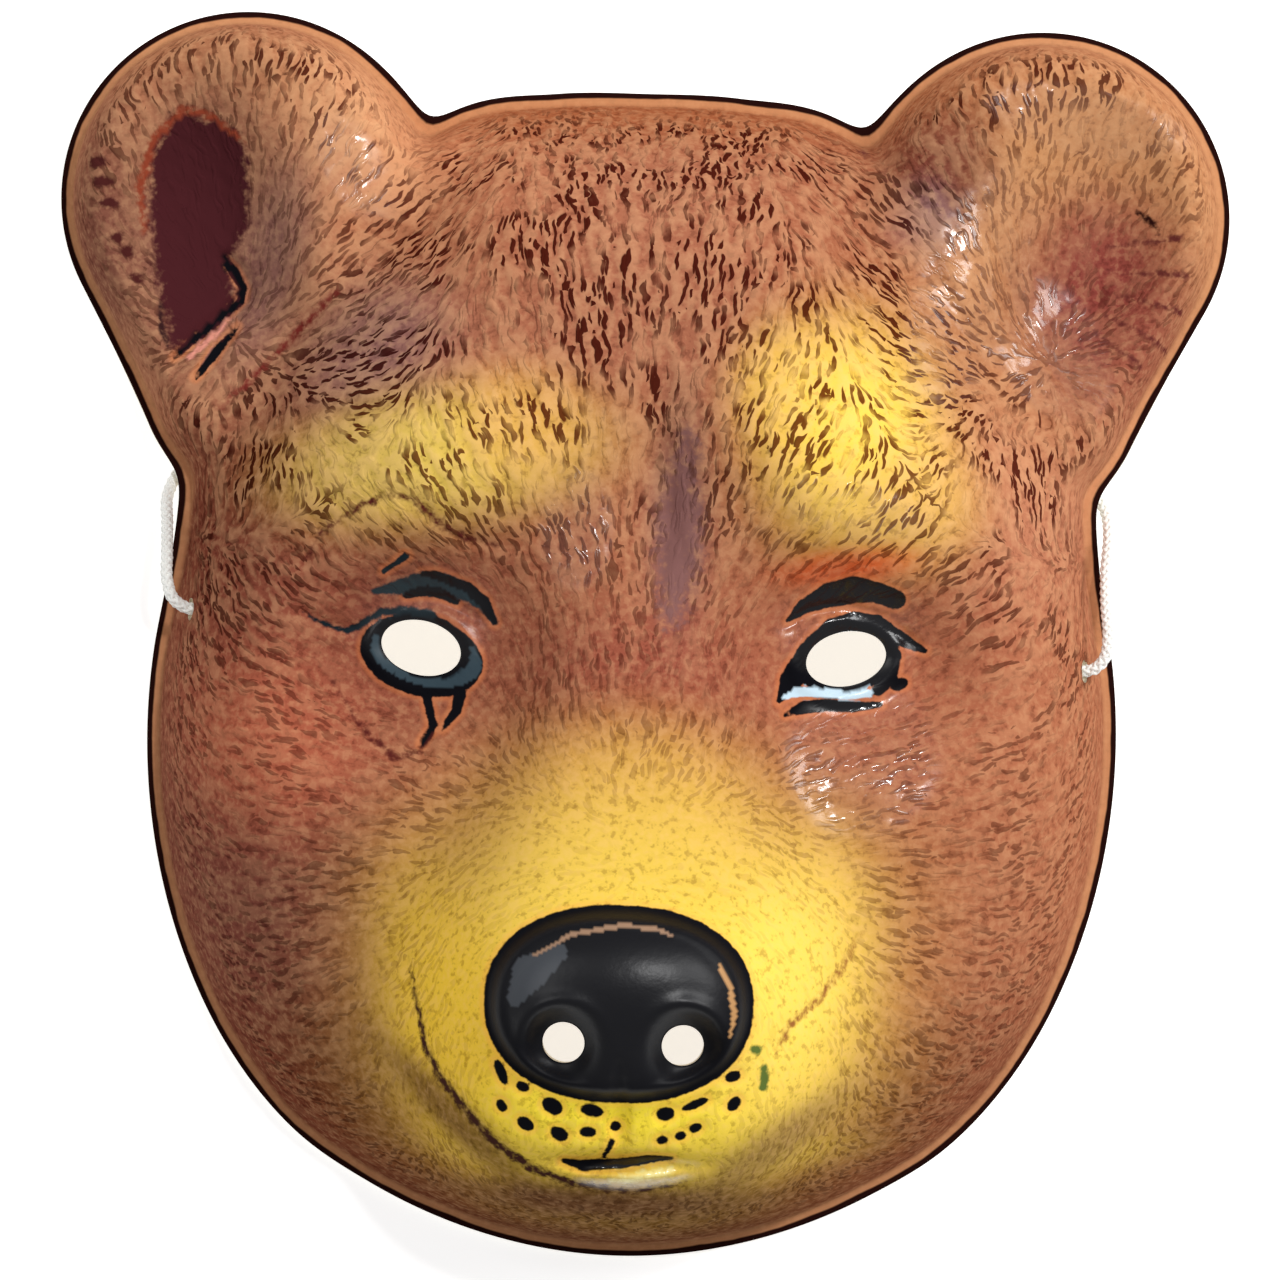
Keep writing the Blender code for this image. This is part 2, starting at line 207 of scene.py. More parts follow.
def waved(tree, place, scale, reach):
    """Places shifted about by a smooth noise."""
    wave = add_node(tree, "ShaderNodeTexNoise", Vector=place, Scale=scale)
    bend = vectors(tree, "SUBTRACT", wave.outputs["Color"], (0.5, 0.5, 0.5))
    return vectors(tree, "ADD", place, scaled(tree, bend, reach))


def new_tree(name, inputs):
    """A Geometry Nodes tree with its named inputs; gives it with its input sockets."""
    tree = bpy.data.node_groups.new(name, "GeometryNodeTree")
    faces = tree.interface
    faces.new_socket("Geometry", in_out="OUTPUT", socket_type="NodeSocketGeometry")
    faces.new_socket("Geometry", in_out="INPUT", socket_type="NodeSocketGeometry")
    for label, kind in inputs.items():
        faces.new_socket(label, in_out="INPUT", socket_type=f"NodeSocket{kind}")
    return tree, tree.nodes.new("NodeGroupInput").outputs


def close_tree(tree, geometry):
    """Make a tree's instances real and lead them out."""
    real = add_node(tree, "GeometryNodeRealizeInstances", Geometry=geometry)
    end = tree.nodes.new("NodeGroupOutput")
    tree.links.new(real.outputs[0], end.inputs[0])


def make_braid_tree():
    """Threads that wind round a curve both ways, each over one and under the next."""
    kinds = {
        "Threads": "Int",
        "Thread Radius": "Float",
        "Sleeve Radius": "Float",
        "Pitch": "Float",
        "Weave": "Float",
        "Step": "Float",
        "Core Radius": "Float",
        "Material": "Material",
    }
    tree, given = new_tree("braid", kinds)
    spaced = add_node(
        tree,
        "GeometryNodeResampleCurve",
        {"mode": "LENGTH"},
        Curve=given["Geometry"],
        Length=given["Step"],
    ).outputs[0]
    copies = add_node(
        tree,
        "GeometryNodeDuplicateElements",
        {"domain": "SPLINE"},
        Geometry=spaced,
        Amount=given["Threads"],
    )
    index = copies.outputs["Duplicate Index"]
    hand = maths(tree, "MODULO", index, 2.0)
    hand = maths(tree, "MULTIPLY_ADD", hand, 2.0, -1.0)
    half = maths(tree, "FLOOR", maths(tree, "DIVIDE", index, 2.0))
    run = tree.nodes.new("GeometryNodeSplineParameter").outputs["Length"]
    turns = maths(tree, "DIVIDE", run, given["Pitch"])
    pairs = maths(tree, "DIVIDE", given["Threads"], 2.0)
    start = maths(tree, "DIVIDE", half, pairs)
    angle = maths(tree, "MULTIPLY_ADD", turns, hand, start)
    angle = maths(tree, "MULTIPLY", angle, 2 * math.pi)
    crossings = maths(tree, "MULTIPLY", maths(tree, "MULTIPLY", turns, pairs), 2 * math.pi)
    weave = maths(tree, "MULTIPLY", maths(tree, "COSINE", crossings), given["Weave"])
    radius = maths(tree, "MULTIPLY_ADD", weave, hand, given["Sleeve Radius"])
    normal = tree.nodes.new("GeometryNodeInputNormal").outputs[0]
    tangent = tree.nodes.new("GeometryNodeInputTangent").outputs[0]
    aside = vectors(tree, "CROSS_PRODUCT", tangent, normal)
    out = maths(tree, "MULTIPLY", maths(tree, "COSINE", angle), radius)
    across = maths(tree, "MULTIPLY", maths(tree, "SINE", angle), radius)
    shift = vectors(tree, "ADD", scaled(tree, normal, out), scaled(tree, aside, across))
    threads = add_node(
        tree, "GeometryNodeSetPosition", Geometry=copies.outputs[0], Offset=shift
    ).outputs[0]
    meshes = []
    for line, sides, size in (
        (threads, THREAD_SIDES, given["Thread Radius"]),
        (spaced, CORE_SIDES, given["Core Radius"]),
    ):
        ring = add_node(tree, "GeometryNodeCurvePrimitiveCircle", Resolution=sides)
        tree.links.new(size, ring.inputs["Radius"])
        tube = add_node(tree, "GeometryNodeCurveToMesh", Curve=line, Fill_Caps=True)
        tree.links.new(ring.outputs[0], tube.inputs["Profile Curve"])
        meshes.append(tube.outputs[0])
    joined = tree.nodes.new("GeometryNodeJoinGeometry")
    for mesh in meshes:
        tree.links.new(mesh, joined.inputs[0])
    dyed = add_node(
        tree,
        "GeometryNodeSetMaterial",
        Geometry=joined.outputs[0],
        Material=given["Material"],
    )
    close_tree(tree, dyed.outputs[0])
    return tree


def set_inputs(modifier, values):
    """Give a tree's named inputs their values, by their sockets' identifiers."""
    for item in modifier.node_group.interface.items_tree:
        if item.in_out == "INPUT" and item.name in values:
            modifier[item.identifier] = values[item.name]


def settled(thing, name):
    """The plain mesh that an object and its modifiers make, as a new object."""
    graph = bpy.context.evaluated_depsgraph_get()
    mesh = bpy.data.meshes.new_from_object(
        thing.evaluated_get(graph), preserve_all_data_layers=True, depsgraph=graph
    )
    mesh.name = name
    mesh.shade_smooth()
    bpy.data.objects.remove(thing, do_unlink=True)
    done = bpy.data.objects.new(name, mesh)
    bpy.context.scene.collection.objects.link(done)
    return done


def make_braided(name, line, tree, material):
    """A braided cord along a line of points."""
    curve = bpy.data.curves.new(name + "_line", "CURVE")
    curve.dimensions = "3D"
    spline = curve.splines.new("POLY")
    spline.points.add(len(line) - 1)
    spline.points.foreach_set("co", np.column_stack([line, np.ones(len(line))]).ravel())
    guide = bpy.data.objects.new(name + "_line", curve)
    bpy.context.scene.collection.objects.link(guide)
    modifier = guide.modifiers.new("braid", "NODES")
    modifier.node_group = tree
    values = {
        "Threads": THREADS,
        "Thread Radius": THREAD / 2,
        "Sleeve Radius": ELASTIC / 2 - THREAD / 2 - BRAID_WEAVE,
        "Pitch": BRAID_PITCH,
        "Weave": BRAID_WEAVE,
        "Step": BRAID_STEP,
        "Core Radius": CORE_SHARE * ELASTIC / 2,
        "Material": material,
    }
    set_inputs(modifier, values)
    return settled(guide, name)


def srgb(red, green, blue):
    """A screen colour from 0 to 255 as the linear colour that a shader takes."""
    shares = np.array([red, green, blue]) / 255
    linear = np.where(shares > 0.04045, ((shares + 0.055) / 1.055) ** 2.4, shares / 12.92)
    return (*linear.tolist(), 1.0)


def new_material(name, **settings):
    """A material; gives it with its tree and its main shader, the sockets set."""
    material = bpy.data.materials.new(name)
    material.use_nodes = True
    shader = material.node_tree.nodes["Principled BSDF"]
    for label, value in settings.items():
        shader.inputs[label.replace("_", " ")].default_value = value
    return material, material.node_tree, shader


def make_elastic_white():
    """White thread: dull, with a faint sheen and a trace of grime in its hollows."""
    material, tree, shader = new_material(
        "elastic_white", Roughness=0.75, Sheen_Weight=0.3, Specular_IOR_Level=0.3
    )
    place = tree.nodes.new("ShaderNodeTexCoord").outputs["Object"]
    fibre = add_node(tree, "ShaderNodeTexNoise", Vector=place, Scale=4000.0, Detail=3.0)
    grime = add_node(tree, "ShaderNodeTexNoise", Vector=place, Scale=160.0, Detail=2.0)
    mixed = maths(tree, "MULTIPLY", fibre.outputs["Fac"], grime.outputs["Fac"])
    tint = add_node(
        tree,
        "ShaderNodeMix",
        {"data_type": "RGBA"},
        in0=mixed,
        in6=srgb(250, 250, 246),
        in7=srgb(206, 204, 196),
    )
    tree.links.new(tint.outputs[2], shader.inputs["Base Color"])
    bump = add_node(
        tree, "ShaderNodeBump", Height=fibre.outputs["Fac"], Distance=0.00004, Strength=0.6
    )
    tree.links.new(bump.outputs[0], shader.inputs["Normal"])
    return material


elastic_white = make_elastic_white()
braid_tree = make_braid_tree()
elastic_line = smooth_line(ELASTIC_ROUTE, LINE_POINTS)
elastic = make_braided("elastic_cord", elastic_line, braid_tree, elastic_white)
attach(elastic, "root")
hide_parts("elastic")

# Knots
# Behind each hole the elastic is tied in an overhand knot, drawn tight, with a short cut
# end left over. The knot is too wide for its hole.
KNOT_LOBE = 0.00062
KNOT_RISE = 0.00075
KNOT_TAIL = 0.005
KNOT_POINTS = 60
KNOT_GAP = 0.15
TAIL_DROP = 0.5
TAIL_BENDS = (0.3, 0.1)


def make_knot(side, name):
    """An overhand knot behind one hole, its standing end towards the hole."""
    low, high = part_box(name)
    middle = (low + high) / 2
    end = Vector(elastic_line[0] if side > 0 else elastic_line[-1])
    inward = (middle - end).normalized()
    aside = inward.cross(Vector((0, 0, 1))).normalized()
    above = aside.cross(inward)
    line = [end]
    for turn in np.linspace(KNOT_GAP, 2 * math.pi - KNOT_GAP, KNOT_POINTS):
        across = math.sin(turn) + 2 * math.sin(2 * turn)
        up = math.cos(turn) - 2 * math.cos(2 * turn)
        deep = -math.sin(3 * turn)
        place = aside * (across * KNOT_LOBE) + above * (up * KNOT_LOBE)
        line.append(middle + place + inward * (deep * KNOT_RISE))
    for bend in TAIL_BENDS:
        line.append(line[-1] - above * KNOT_TAIL * TAIL_DROP + inward * KNOT_TAIL * bend)
    even = smooth_line([tuple(point) for point in line], 2 * KNOT_POINTS)
    knot = make_braided("knotted_end_" + name[5:], even, braid_tree, elastic_white)
    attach(knot, "root")
    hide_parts(name)
    return knot


knots = [make_knot(-1, "knot_left"), make_knot(1, "knot_right")]

# Mask sheet
# One sheet of thin plastic, softened and drawn over a mould of a bear's face and ears,
# then trimmed to a narrow lip and punched for the eyes, the nostrils and the elastic.
shell_low, shell_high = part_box("mask_shell")
MASK_WIDTH = shell_high.x - shell_low.x
FACE_WIDTH = 0.829 * MASK_WIDTH
CHIN_DROP = -shell_low.y
NOSE_RISE = 0.97 * shell_high.z
EAR_RADIUS = 0.159 * MASK_WIDTH
EAR_OUT = shell_high.x - EAR_RADIUS
EAR_UP = shell_high.y - EAR_RADIUS
EAR_FOOT_RADIUS = 0.0172
EAR_FOOT_OUT = 0.0593
EAR_FOOT_UP = 0.0395
EAR_RISE = 0.0165
EAR_NOTCH_ROUND = 0.005
EAR_FADE = 0.014
SHEET = 0.0008
LIP = 0.0018
EAR_SHOULDER = 0.008
TEMPLE_ARCH_RISE = 0.0062
TEMPLE_ARCH_UP = 0.0215
TEMPLE_ARCH_HALF = 0.0225

Reach = namedtuple("Reach", "degrees share shoulder")
HEAD_OUTLINE = [
    Reach(0, 0.885, 0.36),
    Reach(12, 0.900, 0.36),
    Reach(24, 0.930, 0.38),
    Reach(36, 0.905, 0.40),
    Reach(50, 0.895, 0.36),
    Reach(65, 0.915, 0.30),
    Reach(75, 0.945, 0.27),
    Reach(84, 0.960, 0.25),
    Reach(92, 0.990, 0.25),
    Reach(105, 1.028, 0.25),
    Reach(118, 1.052, 0.25),
    Reach(130, 1.061, 0.25),
    Reach(140, 1.054, 0.25),
    Reach(150, 1.030, 0.25),
    Reach(165, 1.007, 0.24),
    Reach(180, 1.000, 0.23),
]

# Places and half sizes are shares of the half width and the chin drop, rises are shares
# of the nose's; a paired form is on both sides
Form = namedtuple("Form", "name across up half_width half_height tilt rise edge paired")
FACE_FORMS = [
    Form("forehead", 0.0, 0.50, 0.60, 0.36, 0, 0.090, 1.0, False),
    Form("brow", 0.40, 0.27, 0.25, 0.13, -12, 0.095, 1.2, True),
    Form("brow_groove", 0.04, 0.22, 0.06, 0.17, 0, -0.050, 1.0, False),
    Form("bridge", 0.0, -0.08, 0.22, 0.26, 0, 0.070, 1.0, False),
    Form("socket", 0.44, -0.03, 0.23, 0.115, -10, -0.130, 1.2, True),
    Form("lid", 0.42, -0.02, 0.14, 0.075, -10, 0.040, 1.5, True),
    Form("cheekbone", 0.62, -0.26, 0.26, 0.18, 24, 0.050, 1.0, True),
    Form("jowl", 0.62, -0.62, 0.26, 0.22, -24, 0.040, 1.0, True),
    Form("chin", 0.0, -0.90, 0.30, 0.10, 0, 0.040, 1.0, False),
    Form("nose_pad", 0.0, -0.547, 0.250, 0.145, 0, 0.075, 4.0, False),
    Form("nose_ball", 0.0, -0.500, 0.170, 0.090, 0, 0.030, 1.0, False),
    Form("nostril", 0.125, -0.615, 0.065, 0.045, 20, -0.045, 1.5, True),
    Form("mouth", 0.0, -0.795, 0.170, 0.018, 0, -0.035, 2.0, False),
    Form("lip_groove", 0.0, -0.735, 0.018, 0.050, 0, -0.020, 1.5, False),
]
Section = namedtuple("Section", "up half_width rise")
MUZZLE_SECTIONS = [
    Section(0.10, 0.15, 0.000),
    Section(-0.05, 0.18, 0.050),
    Section(-0.20, 0.25, 0.160),
    Section(-0.34, 0.34, 0.285),
    Section(-0.48, 0.405, 0.385),
    Section(-0.62, 0.425, 0.420),
    Section(-0.75, 0.400, 0.385),
    Section(-0.86, 0.340, 0.290),
    Section(-1.00, 0.260, 0.130),
]
MUZZLE_EDGE = 2.2
FACE_CROWN = 0.545
FACE_FALL_ACROSS = 0.110
FACE_FALL_DOWN = 0.130
EAR_BLEND = 5
EAR_FORMS = [
    Form("hollow", 0.18, -0.22, 0.50, 0.72, -22, -0.55, 1.5, False),
    Form("inner_fold", -0.42, -0.42, 0.26, 0.50, -30, 0.18, 1.0, False),
]


def face_edge(x, y):
    """How far points lie inside the head's own outline, and how wide its shoulder is."""
    across = np.abs(x) / (FACE_WIDTH / 2)
    up = y / CHIN_DROP
    stretched = np.maximum(np.hypot(across, up), 1e-6)
    reach, shoulder = between(HEAD_OUTLINE, np.degrees(np.arctan2(across, up)))
    length = np.hypot(x, y)
    scale = np.where(length > 0, length / stretched, CHIN_DROP)
    return reach * scale - length, shoulder * CHIN_DROP


def ear_inset(x, y):
    """How far points lie inside an ear's outline, two discs and their tangents."""
    foot = np.array([EAR_FOOT_OUT - EAR_OUT, EAR_FOOT_UP - EAR_UP])
    length = np.hypot(*foot)
    along = ((np.abs(x) - EAR_OUT) * foot[0] + (y - EAR_UP) * foot[1]) / length
    aside = np.abs((np.abs(x) - EAR_OUT) * foot[1] - (y - EAR_UP) * foot[0]) / length
    narrowing = (EAR_RADIUS - EAR_FOOT_RADIUS) / length
    level = math.sqrt(1 - narrowing**2)
    place = along * level - aside * narrowing
    side = EAR_RADIUS - aside * level - along * narrowing
    tip = EAR_RADIUS - np.hypot(aside, along)
    end = EAR_FOOT_RADIUS - np.hypot(aside, along - length)
    return np.where(place < 0, tip, np.where(place > level * length, end, side))


def inset(x, y):
    """How far points lie inside the mask's whole outline, its notches rounded."""
    face, ear = face_edge(x, y)[0], ear_inset(x, y)
    return (face + ear + np.hypot(face - ear, EAR_NOTCH_ROUND)) / 2


def form_height(form, across, up):
    """One form's height at points given in shares from the table's own middle."""
    turn = math.radians(form.tilt)
    dx = across - form.across
    dy = up - form.up
    along = (dx * math.cos(turn) + dy * math.sin(turn)) / form.half_width
    aside = (dy * math.cos(turn) - dx * math.sin(turn)) / form.half_height
    return form.rise * np.exp(-((along**2 + aside**2) ** form.edge))


def side_wall(depth, width):
    """The side wall's rise, as a share, at a depth in from its foot."""
    return 1 - (1 - np.clip(depth / width, 0, 1)) ** 3


def face_relief(x, y):
    """The face's height, as if its sides fell away beyond the edge."""
    across = x / (FACE_WIDTH / 2)
    up = y / CHIN_DROP
    height = FACE_CROWN - FACE_FALL_ACROSS * across**2 - FACE_FALL_DOWN * up**2
    for form in FACE_FORMS:
        height = height + form_height(form, np.abs(across) if form.paired else across, up)
    half_width, rise = between(MUZZLE_SECTIONS, up)
    height = height + rise * np.exp(-((across / half_width) ** 2) ** MUZZLE_EDGE)
    return NOSE_RISE * height


def ear_relief(x, y):
    """An ear's height: a thick roll round a hollow."""
    across = (np.abs(x) - EAR_OUT) / EAR_RADIUS
    up = (y - EAR_UP) / EAR_RADIUS
    height = 1.0
    for form in EAR_FORMS:
        height = height + form_height(form, across, up)
    return EAR_RISE * height


def ear_share(x, y):
    """1 on an ear, falling to 0 on the face beside it."""
    near = np.clip(1 + ear_inset(x, y) / EAR_FADE, 0, 1)
    return near**2 * (3 - 2 * near)


def plain_height(x, y):
    """The height of the sheet's outer face, without its fine forms."""
    depth, shoulder = face_edge(x, y)
    edge = inset(x, y) - LIP
    face = face_relief(x, y) * side_wall(depth - LIP, shoulder)
    ear = ear_relief(x, y) * side_wall(edge, EAR_SHOULDER) * ear_share(x, y)
    raised = (face**EAR_BLEND + ear**EAR_BLEND) ** (1 / EAR_BLEND)
    arch = np.clip(np.abs(y - TEMPLE_ARCH_UP) / TEMPLE_ARCH_HALF, 0, 1)
    rim = TEMPLE_ARCH_RISE * (1 - arch**2) ** 2 * (1 - side_wall(edge, shoulder))
    return SHEET + rim + raised


# The punched holes, in millimetres from the middle of the face
Hole = namedtuple("Hole", "name x y half_length half_width tilt points")
HOLES = [
    Hole("eye_left", -31.5, -2.0, 6.0, 4.0, -13, 72),
    Hole("eye_right", 31.5, -2.0, 6.0, 4.0, 13, 72),
    Hole("nostril_left", -8.5, -57.6, 3.0, 3.0, 0, 48),
    Hole("nostril_right", 8.5, -57.6, 3.0, 3.0, 0, 48),
]
TIE_HOLES = [
    Hole("tie_left", -67.22, 2.9, 0.53, 1.6, 0, 28),
    Hole("tie_right", 68.31, -3.0, 0.53, 1.6, 0, 28),
]


def oval_axes(x, y, oval):
    """Places along and across an oval, as shares of its half sizes."""
    turn = math.radians(oval.tilt)
    dx = x - oval.x
    dy = y - oval.y
    along = (dx * math.cos(turn) + dy * math.sin(turn)) / oval.half_length
    aside = (dy * math.cos(turn) - dx * math.sin(turn)) / oval.half_width
    return along, aside


def oval_distance(x, y, oval):
    """How far points lie outside an oval, in millimetres."""
    along, aside = oval_axes(x, y, oval)
    reach = np.maximum(np.hypot(along, aside), 1e-6)
    steep = np.hypot(along / oval.half_length, aside / oval.half_width)
    return (reach - 1) * reach / np.maximum(steep, 1e-6)


def stroke_distance(x, y, points):
    """How far points lie outside a brush stroke of x, y and width, in millimetres."""
    nearest = np.full(np.shape(x), 1e3)
    for (x0, y0, width0), (x1, y1, width1) in zip(points, points[1:]):
        length = (x1 - x0) ** 2 + (y1 - y0) ** 2
        share = np.clip(((x - x0) * (x1 - x0) + (y - y0) * (y1 - y0)) / length, 0, 1)
        off = np.hypot(x - x0 - share * (x1 - x0), y - y0 - share * (y1 - y0))
        nearest = np.minimum(nearest, off - (width0 + share * (width1 - width0)) / 2)
    return nearest


# Fine forms of the mould, in millimetres: folds pressed in along a line, with how wide
# and how deep they are
Fold = namedtuple("Fold", "name points deep")
FOLDS = [
    Fold("left_brow_fold", [(-48.8, 10, 1.2), (-46.2, 14.7, 1.4), (-41, 18.4, 1.4), (-36.2, 20.4, 1.4),
        (-32.5, 19.8, 1.4), (-28, 15.8, 1.4), (-23.8, 14.1, 1.2), (-20.2, 13.4, 0.8)], 0.55),
    Fold("left_lid_fold", [(-48.9, 2.7, 0.9), (-46.1, 1.2, 1.2), (-41.1, 0.1, 1.2), (-38, 2.6, 1.2),
        (-34, 4.6, 1.4), (-28, 4.8, 1.4), (-23, 2.6, 1.0)], 0.6),
    Fold("left_bag", [(-40.6, -13.2, 0.8), (-37.8, -16, 1.2), (-35, -18.2, 1.4), (-31.4, -17.6, 1.2),
        (-29.6, -15.4, 0.8)], 0.5),
    Fold("right_lid_fold", [(22, 2.6, 1.0), (26, 4.9, 1.4), (31, 5.6, 1.4), (36, 4.0, 1.4), (42, 0.4,
        1.0)], 0.6),
    Fold("mouth", [(-8, -75.6, 1.2), (-4, -76.1, 1.8), (0.5, -75.6, 1.8), (6.5, -74.2, 1.0)], 0.9),
    Fold("muzzle_foot_left", [(-31.5, -48, 0.8), (-30, -54.3, 1.4), (-28.6, -60, 1.8), (-26.3, -64,
        1.8), (-22.8, -68, 1.8), (-18.7, -72.7, 1.8), (-12.7, -77, 1.8), (-6.3, -79.4, 1.6), (3, -79.6,
        1.2), (9, -78, 0.8)], 0.8),
    Fold("muzzle_foot_right", [(10, -77.2, 0.8), (15, -74.2, 1.2), (22.6, -68.6, 1.6), (27.3, -63.4,
        1.6), (28.4, -58.6, 1.2)], 0.5),
    Fold("cheek_fold", [(34.5, -42, 0.8), (31.3, -47.6, 1.4), (27.9, -51.7, 1.4), (23.9, -54.8, 1.4),
        (22.2, -58.2, 0.8)], 0.5),
    Fold("left_ear_fold", [(-63.6, 56.4, 1.2), (-61, 54, 1.8), (-60.2, 51, 2.0), (-61.4, 49.4, 2.0),
        (-65.4, 45.8, 2.0), (-69, 41.8, 1.8), (-70.6, 39.6, 1.0)], 1.3),
    Fold("left_ear_under_fold", [(-61, 46.6, 1.0), (-64.2, 42.4, 1.8), (-66.5, 37.6, 1.2)], 0.9),
    Fold("left_ear_base", [(-33.8, 64.6, 1.0), (-42.6, 54.5, 1.8), (-51.6, 45.5, 1.8), (-59, 37.7,
        1.6), (-63.8, 32.8, 0.8)], 0.9),
    Fold("right_ear_base", [(40, 63, 1.0), (46, 52, 1.8), (53, 43, 1.8), (61, 34, 1.0)], 0.9),
    Fold("right_ear_fold", [(53, 62, 1.0), (56.5, 52, 1.8), (61, 45, 1.8), (66, 39, 1.0)], 0.9),
    Fold("nose_groove", [(-0.5, -60.5, 0.8), (-0.6, -64.5, 1.6)], 0.5),
]
FOLD_SPREAD = 0.9

# A ridge or a bowl of the mould round a hole or the nose: how high, how far out, how wide
Ring = namedtuple("Ring", "rise out spread")
EYE_RIM = Ring(0.9, 1.6, 1.5)
NOSE_RIM = Ring(0.7, -1.3, 0.9)
NOSE_MOAT = Ring(-0.8, 0.3, 0.8)
NOSTRIL_BOWL = Ring(-1.6, 0, 2.2)
NOSTRIL_WING = Ring(0.9, 3.2, 1.2)
WING_TURN = 0.9
WING_REACH = 1.3
WHISKER_DEPTH = 0.35
WHISKER_SPREAD = 0.5
NOSE_MIDDLE = (-0.8, -52.0)
NOSE_HALF_WIDTH = 18.4
NOSE_UP = 13.2
NOSE_DOWN = 13.4
NOSE_SQUARE = 2.25


def nose_distance(x, y):
    """How far points lie outside the nose, in millimetres: an oval with full corners."""
    across = np.abs(x - NOSE_MIDDLE[0]) / NOSE_HALF_WIDTH
    up = y - NOSE_MIDDLE[1]
    aside = np.abs(up) / np.where(up > 0, NOSE_UP, NOSE_DOWN)
    reach = np.maximum((across**NOSE_SQUARE + aside**NOSE_SQUARE) ** (1 / NOSE_SQUARE), 1e-6)
    return (reach - 1) * np.hypot(x - NOSE_MIDDLE[0], up) / reach


def ring_height(off, ring):
    """A ring's height at a distance out from what it surrounds."""
    return ring.rise * np.exp(-(((off - ring.out) / ring.spread) ** 2))


def fine_height(x, y):
    """Folds, lids, nose border and nostril curls, in millimetres; x and y are too."""
    height = np.zeros(np.shape(x))
    for fold in FOLDS:
        off = np.maximum(stroke_distance(x, y, fold.points), -0.2)
        height = height - fold.deep * np.exp(-np.maximum(off + 0.4, 0) ** 2 / FOLD_SPREAD**2)
    for hole in HOLES[:2]:
        off = oval_distance(x, y, hole)
        height = height + ring_height(off, EYE_RIM)
    nose = nose_distance(x, y)
    height = height + ring_height(nose, NOSE_RIM) + ring_height(nose, NOSE_MOAT)
    for hole in HOLES[2:]:
        off = oval_distance(x, y, hole)
        height = height + ring_height(np.maximum(off, 0), NOSTRIL_BOWL)
        side = math.copysign(1, hole.x)
        turn = np.arctan2(y - hole.y, side * (x - hole.x))
        wing = np.exp(-(((turn - WING_TURN) / WING_REACH) ** 2))
        height = height + wing * ring_height(off, NOSTRIL_WING)
    for mark in WHISKER_MARKS:
        off = np.maximum(oval_distance(x, y, mark), 0)
        height = height - WHISKER_DEPTH * np.exp(-(off**2) / WHISKER_SPREAD)
    return height


# Whisker marks, in millimetres
Mark = namedtuple("Mark", "x y half_length half_width tilt")
WHISKER_MARKS = [
    Mark(-17.4, -62.4, 2.0, 0.75, -66),
    Mark(-14.2, -64.3, 1.0, 0.75, -20),
    Mark(-17.2, -67.3, 1.0, 0.75, -60),
    Mark(-13.7, -69.8, 1.35, 0.95, -35),
    Mark(-9.9, -67.0, 1.65, 1.15, -30),
    Mark(-8.8, -71.1, 1.4, 1.0, -25),
    Mark(-4.2, -67.5, 1.7, 0.95, -12),
    Mark(-4.7, -70.7, 1.25, 0.8, 0),
    Mark(-0.8, -69.8, 0.85, 0.75, 30),
    Mark(6.3, -67.7, 1.35, 1.05, 15),
    Mark(10.5, -66.2, 2.05, 0.65, 24),
    Mark(6.0, -71.6, 0.9, 0.6, 10),
    Mark(8.6, -70.9, 0.9, 0.65, 15),
    Mark(10.7, -69.7, 0.95, 0.7, 25),
    Mark(15.8, -62.1, 1.2, 0.8, 25),
    Mark(16.1, -66.1, 1.25, 0.85, 50),
]


def outer_height(x, y):
    """The height of the sheet's outer face, with its fine forms."""
    inside = np.clip((inset(x, y) - LIP) / (2 * LIP), 0, 1)
    return plain_height(x, y) + inside * fine_height(x * 1000, y * 1000) / 1000


EDGE_POINTS = 900
EDGE_RAYS = 3600
RAY_STEPS = 400
HALVINGS = 40
SLOPE_STEP = 1e-5
LIP_ROWS = (0.35, 0.7)
WALL_ROWS = 26
INNER_ROW_STEP = 5
ROW_CLEARANCE = 0.6
INNER_HOLE_CLEARANCE = 0.6
WALL_DEPTH = 0.008
WALL_CROWDING = 1.35
OUTER_STEP = 0.00082
PAINT_STEP = 0.00042
INNER_STEP = 0.0018
SINK_ROUNDS = 4
SINK_SHARE = 0.6
SINK_PLACES = ((1 / 3, 1 / 3, 1 / 3), (0.5, 0.5, 0), (0, 0.5, 0.5), (0.5, 0, 0.5))
HOLE_RINGS = (0.25, 0.6)

# Where fine paint needs a finer mesh, in millimetres
FINE_ZONES = [
    Mark(-31.5, -1.0, 16.5, 12.0, -8),
    Mark(31.5, 0.0, 14.0, 12.0, 0),
    Mark(-0.8, -58.0, 23.0, 21.5, 0),
]


def slopes(height, x, y):
    """How steeply a height over the plan rises along X and along Y."""
    step = SLOPE_STEP
    slope_x = (height(x + step, y) - height(x - step, y)) / (2 * step)
    slope_y = (height(x, y + step) - height(x, y - step)) / (2 * step)
    return slope_x, slope_y


def outline():
    """The mask's edge, as points at even steps round it."""
    angles = np.linspace(0, 2 * math.pi, EDGE_RAYS, endpoint=False)
    scan = np.linspace(0, EAR_OUT + EAR_UP + EAR_RADIUS, RAY_STEPS)
    across = np.outer(scan, np.sin(angles))
    up = np.outer(scan, np.cos(angles))
    last = RAY_STEPS - 1 - np.argmax(inset(across, up)[::-1] > 0, axis=0)
    near = scan[last]
    far = scan[last + 1]
    for _ in range(HALVINGS):
        middle = (near + far) / 2
        within = inset(middle * np.sin(angles), middle * np.cos(angles)) > 0
        near = np.where(within, middle, near)
        far = np.where(within, far, middle)
    edge = np.column_stack([near * np.sin(angles), near * np.cos(angles)])
    edge = np.vstack([edge, edge[:1]])
    run = run_along(edge)
    steps = np.linspace(0, run[-1], EDGE_POINTS, endpoint=False)
    return np.interp(steps, run, edge[:, 0]), np.interp(steps, run, edge[:, 1])


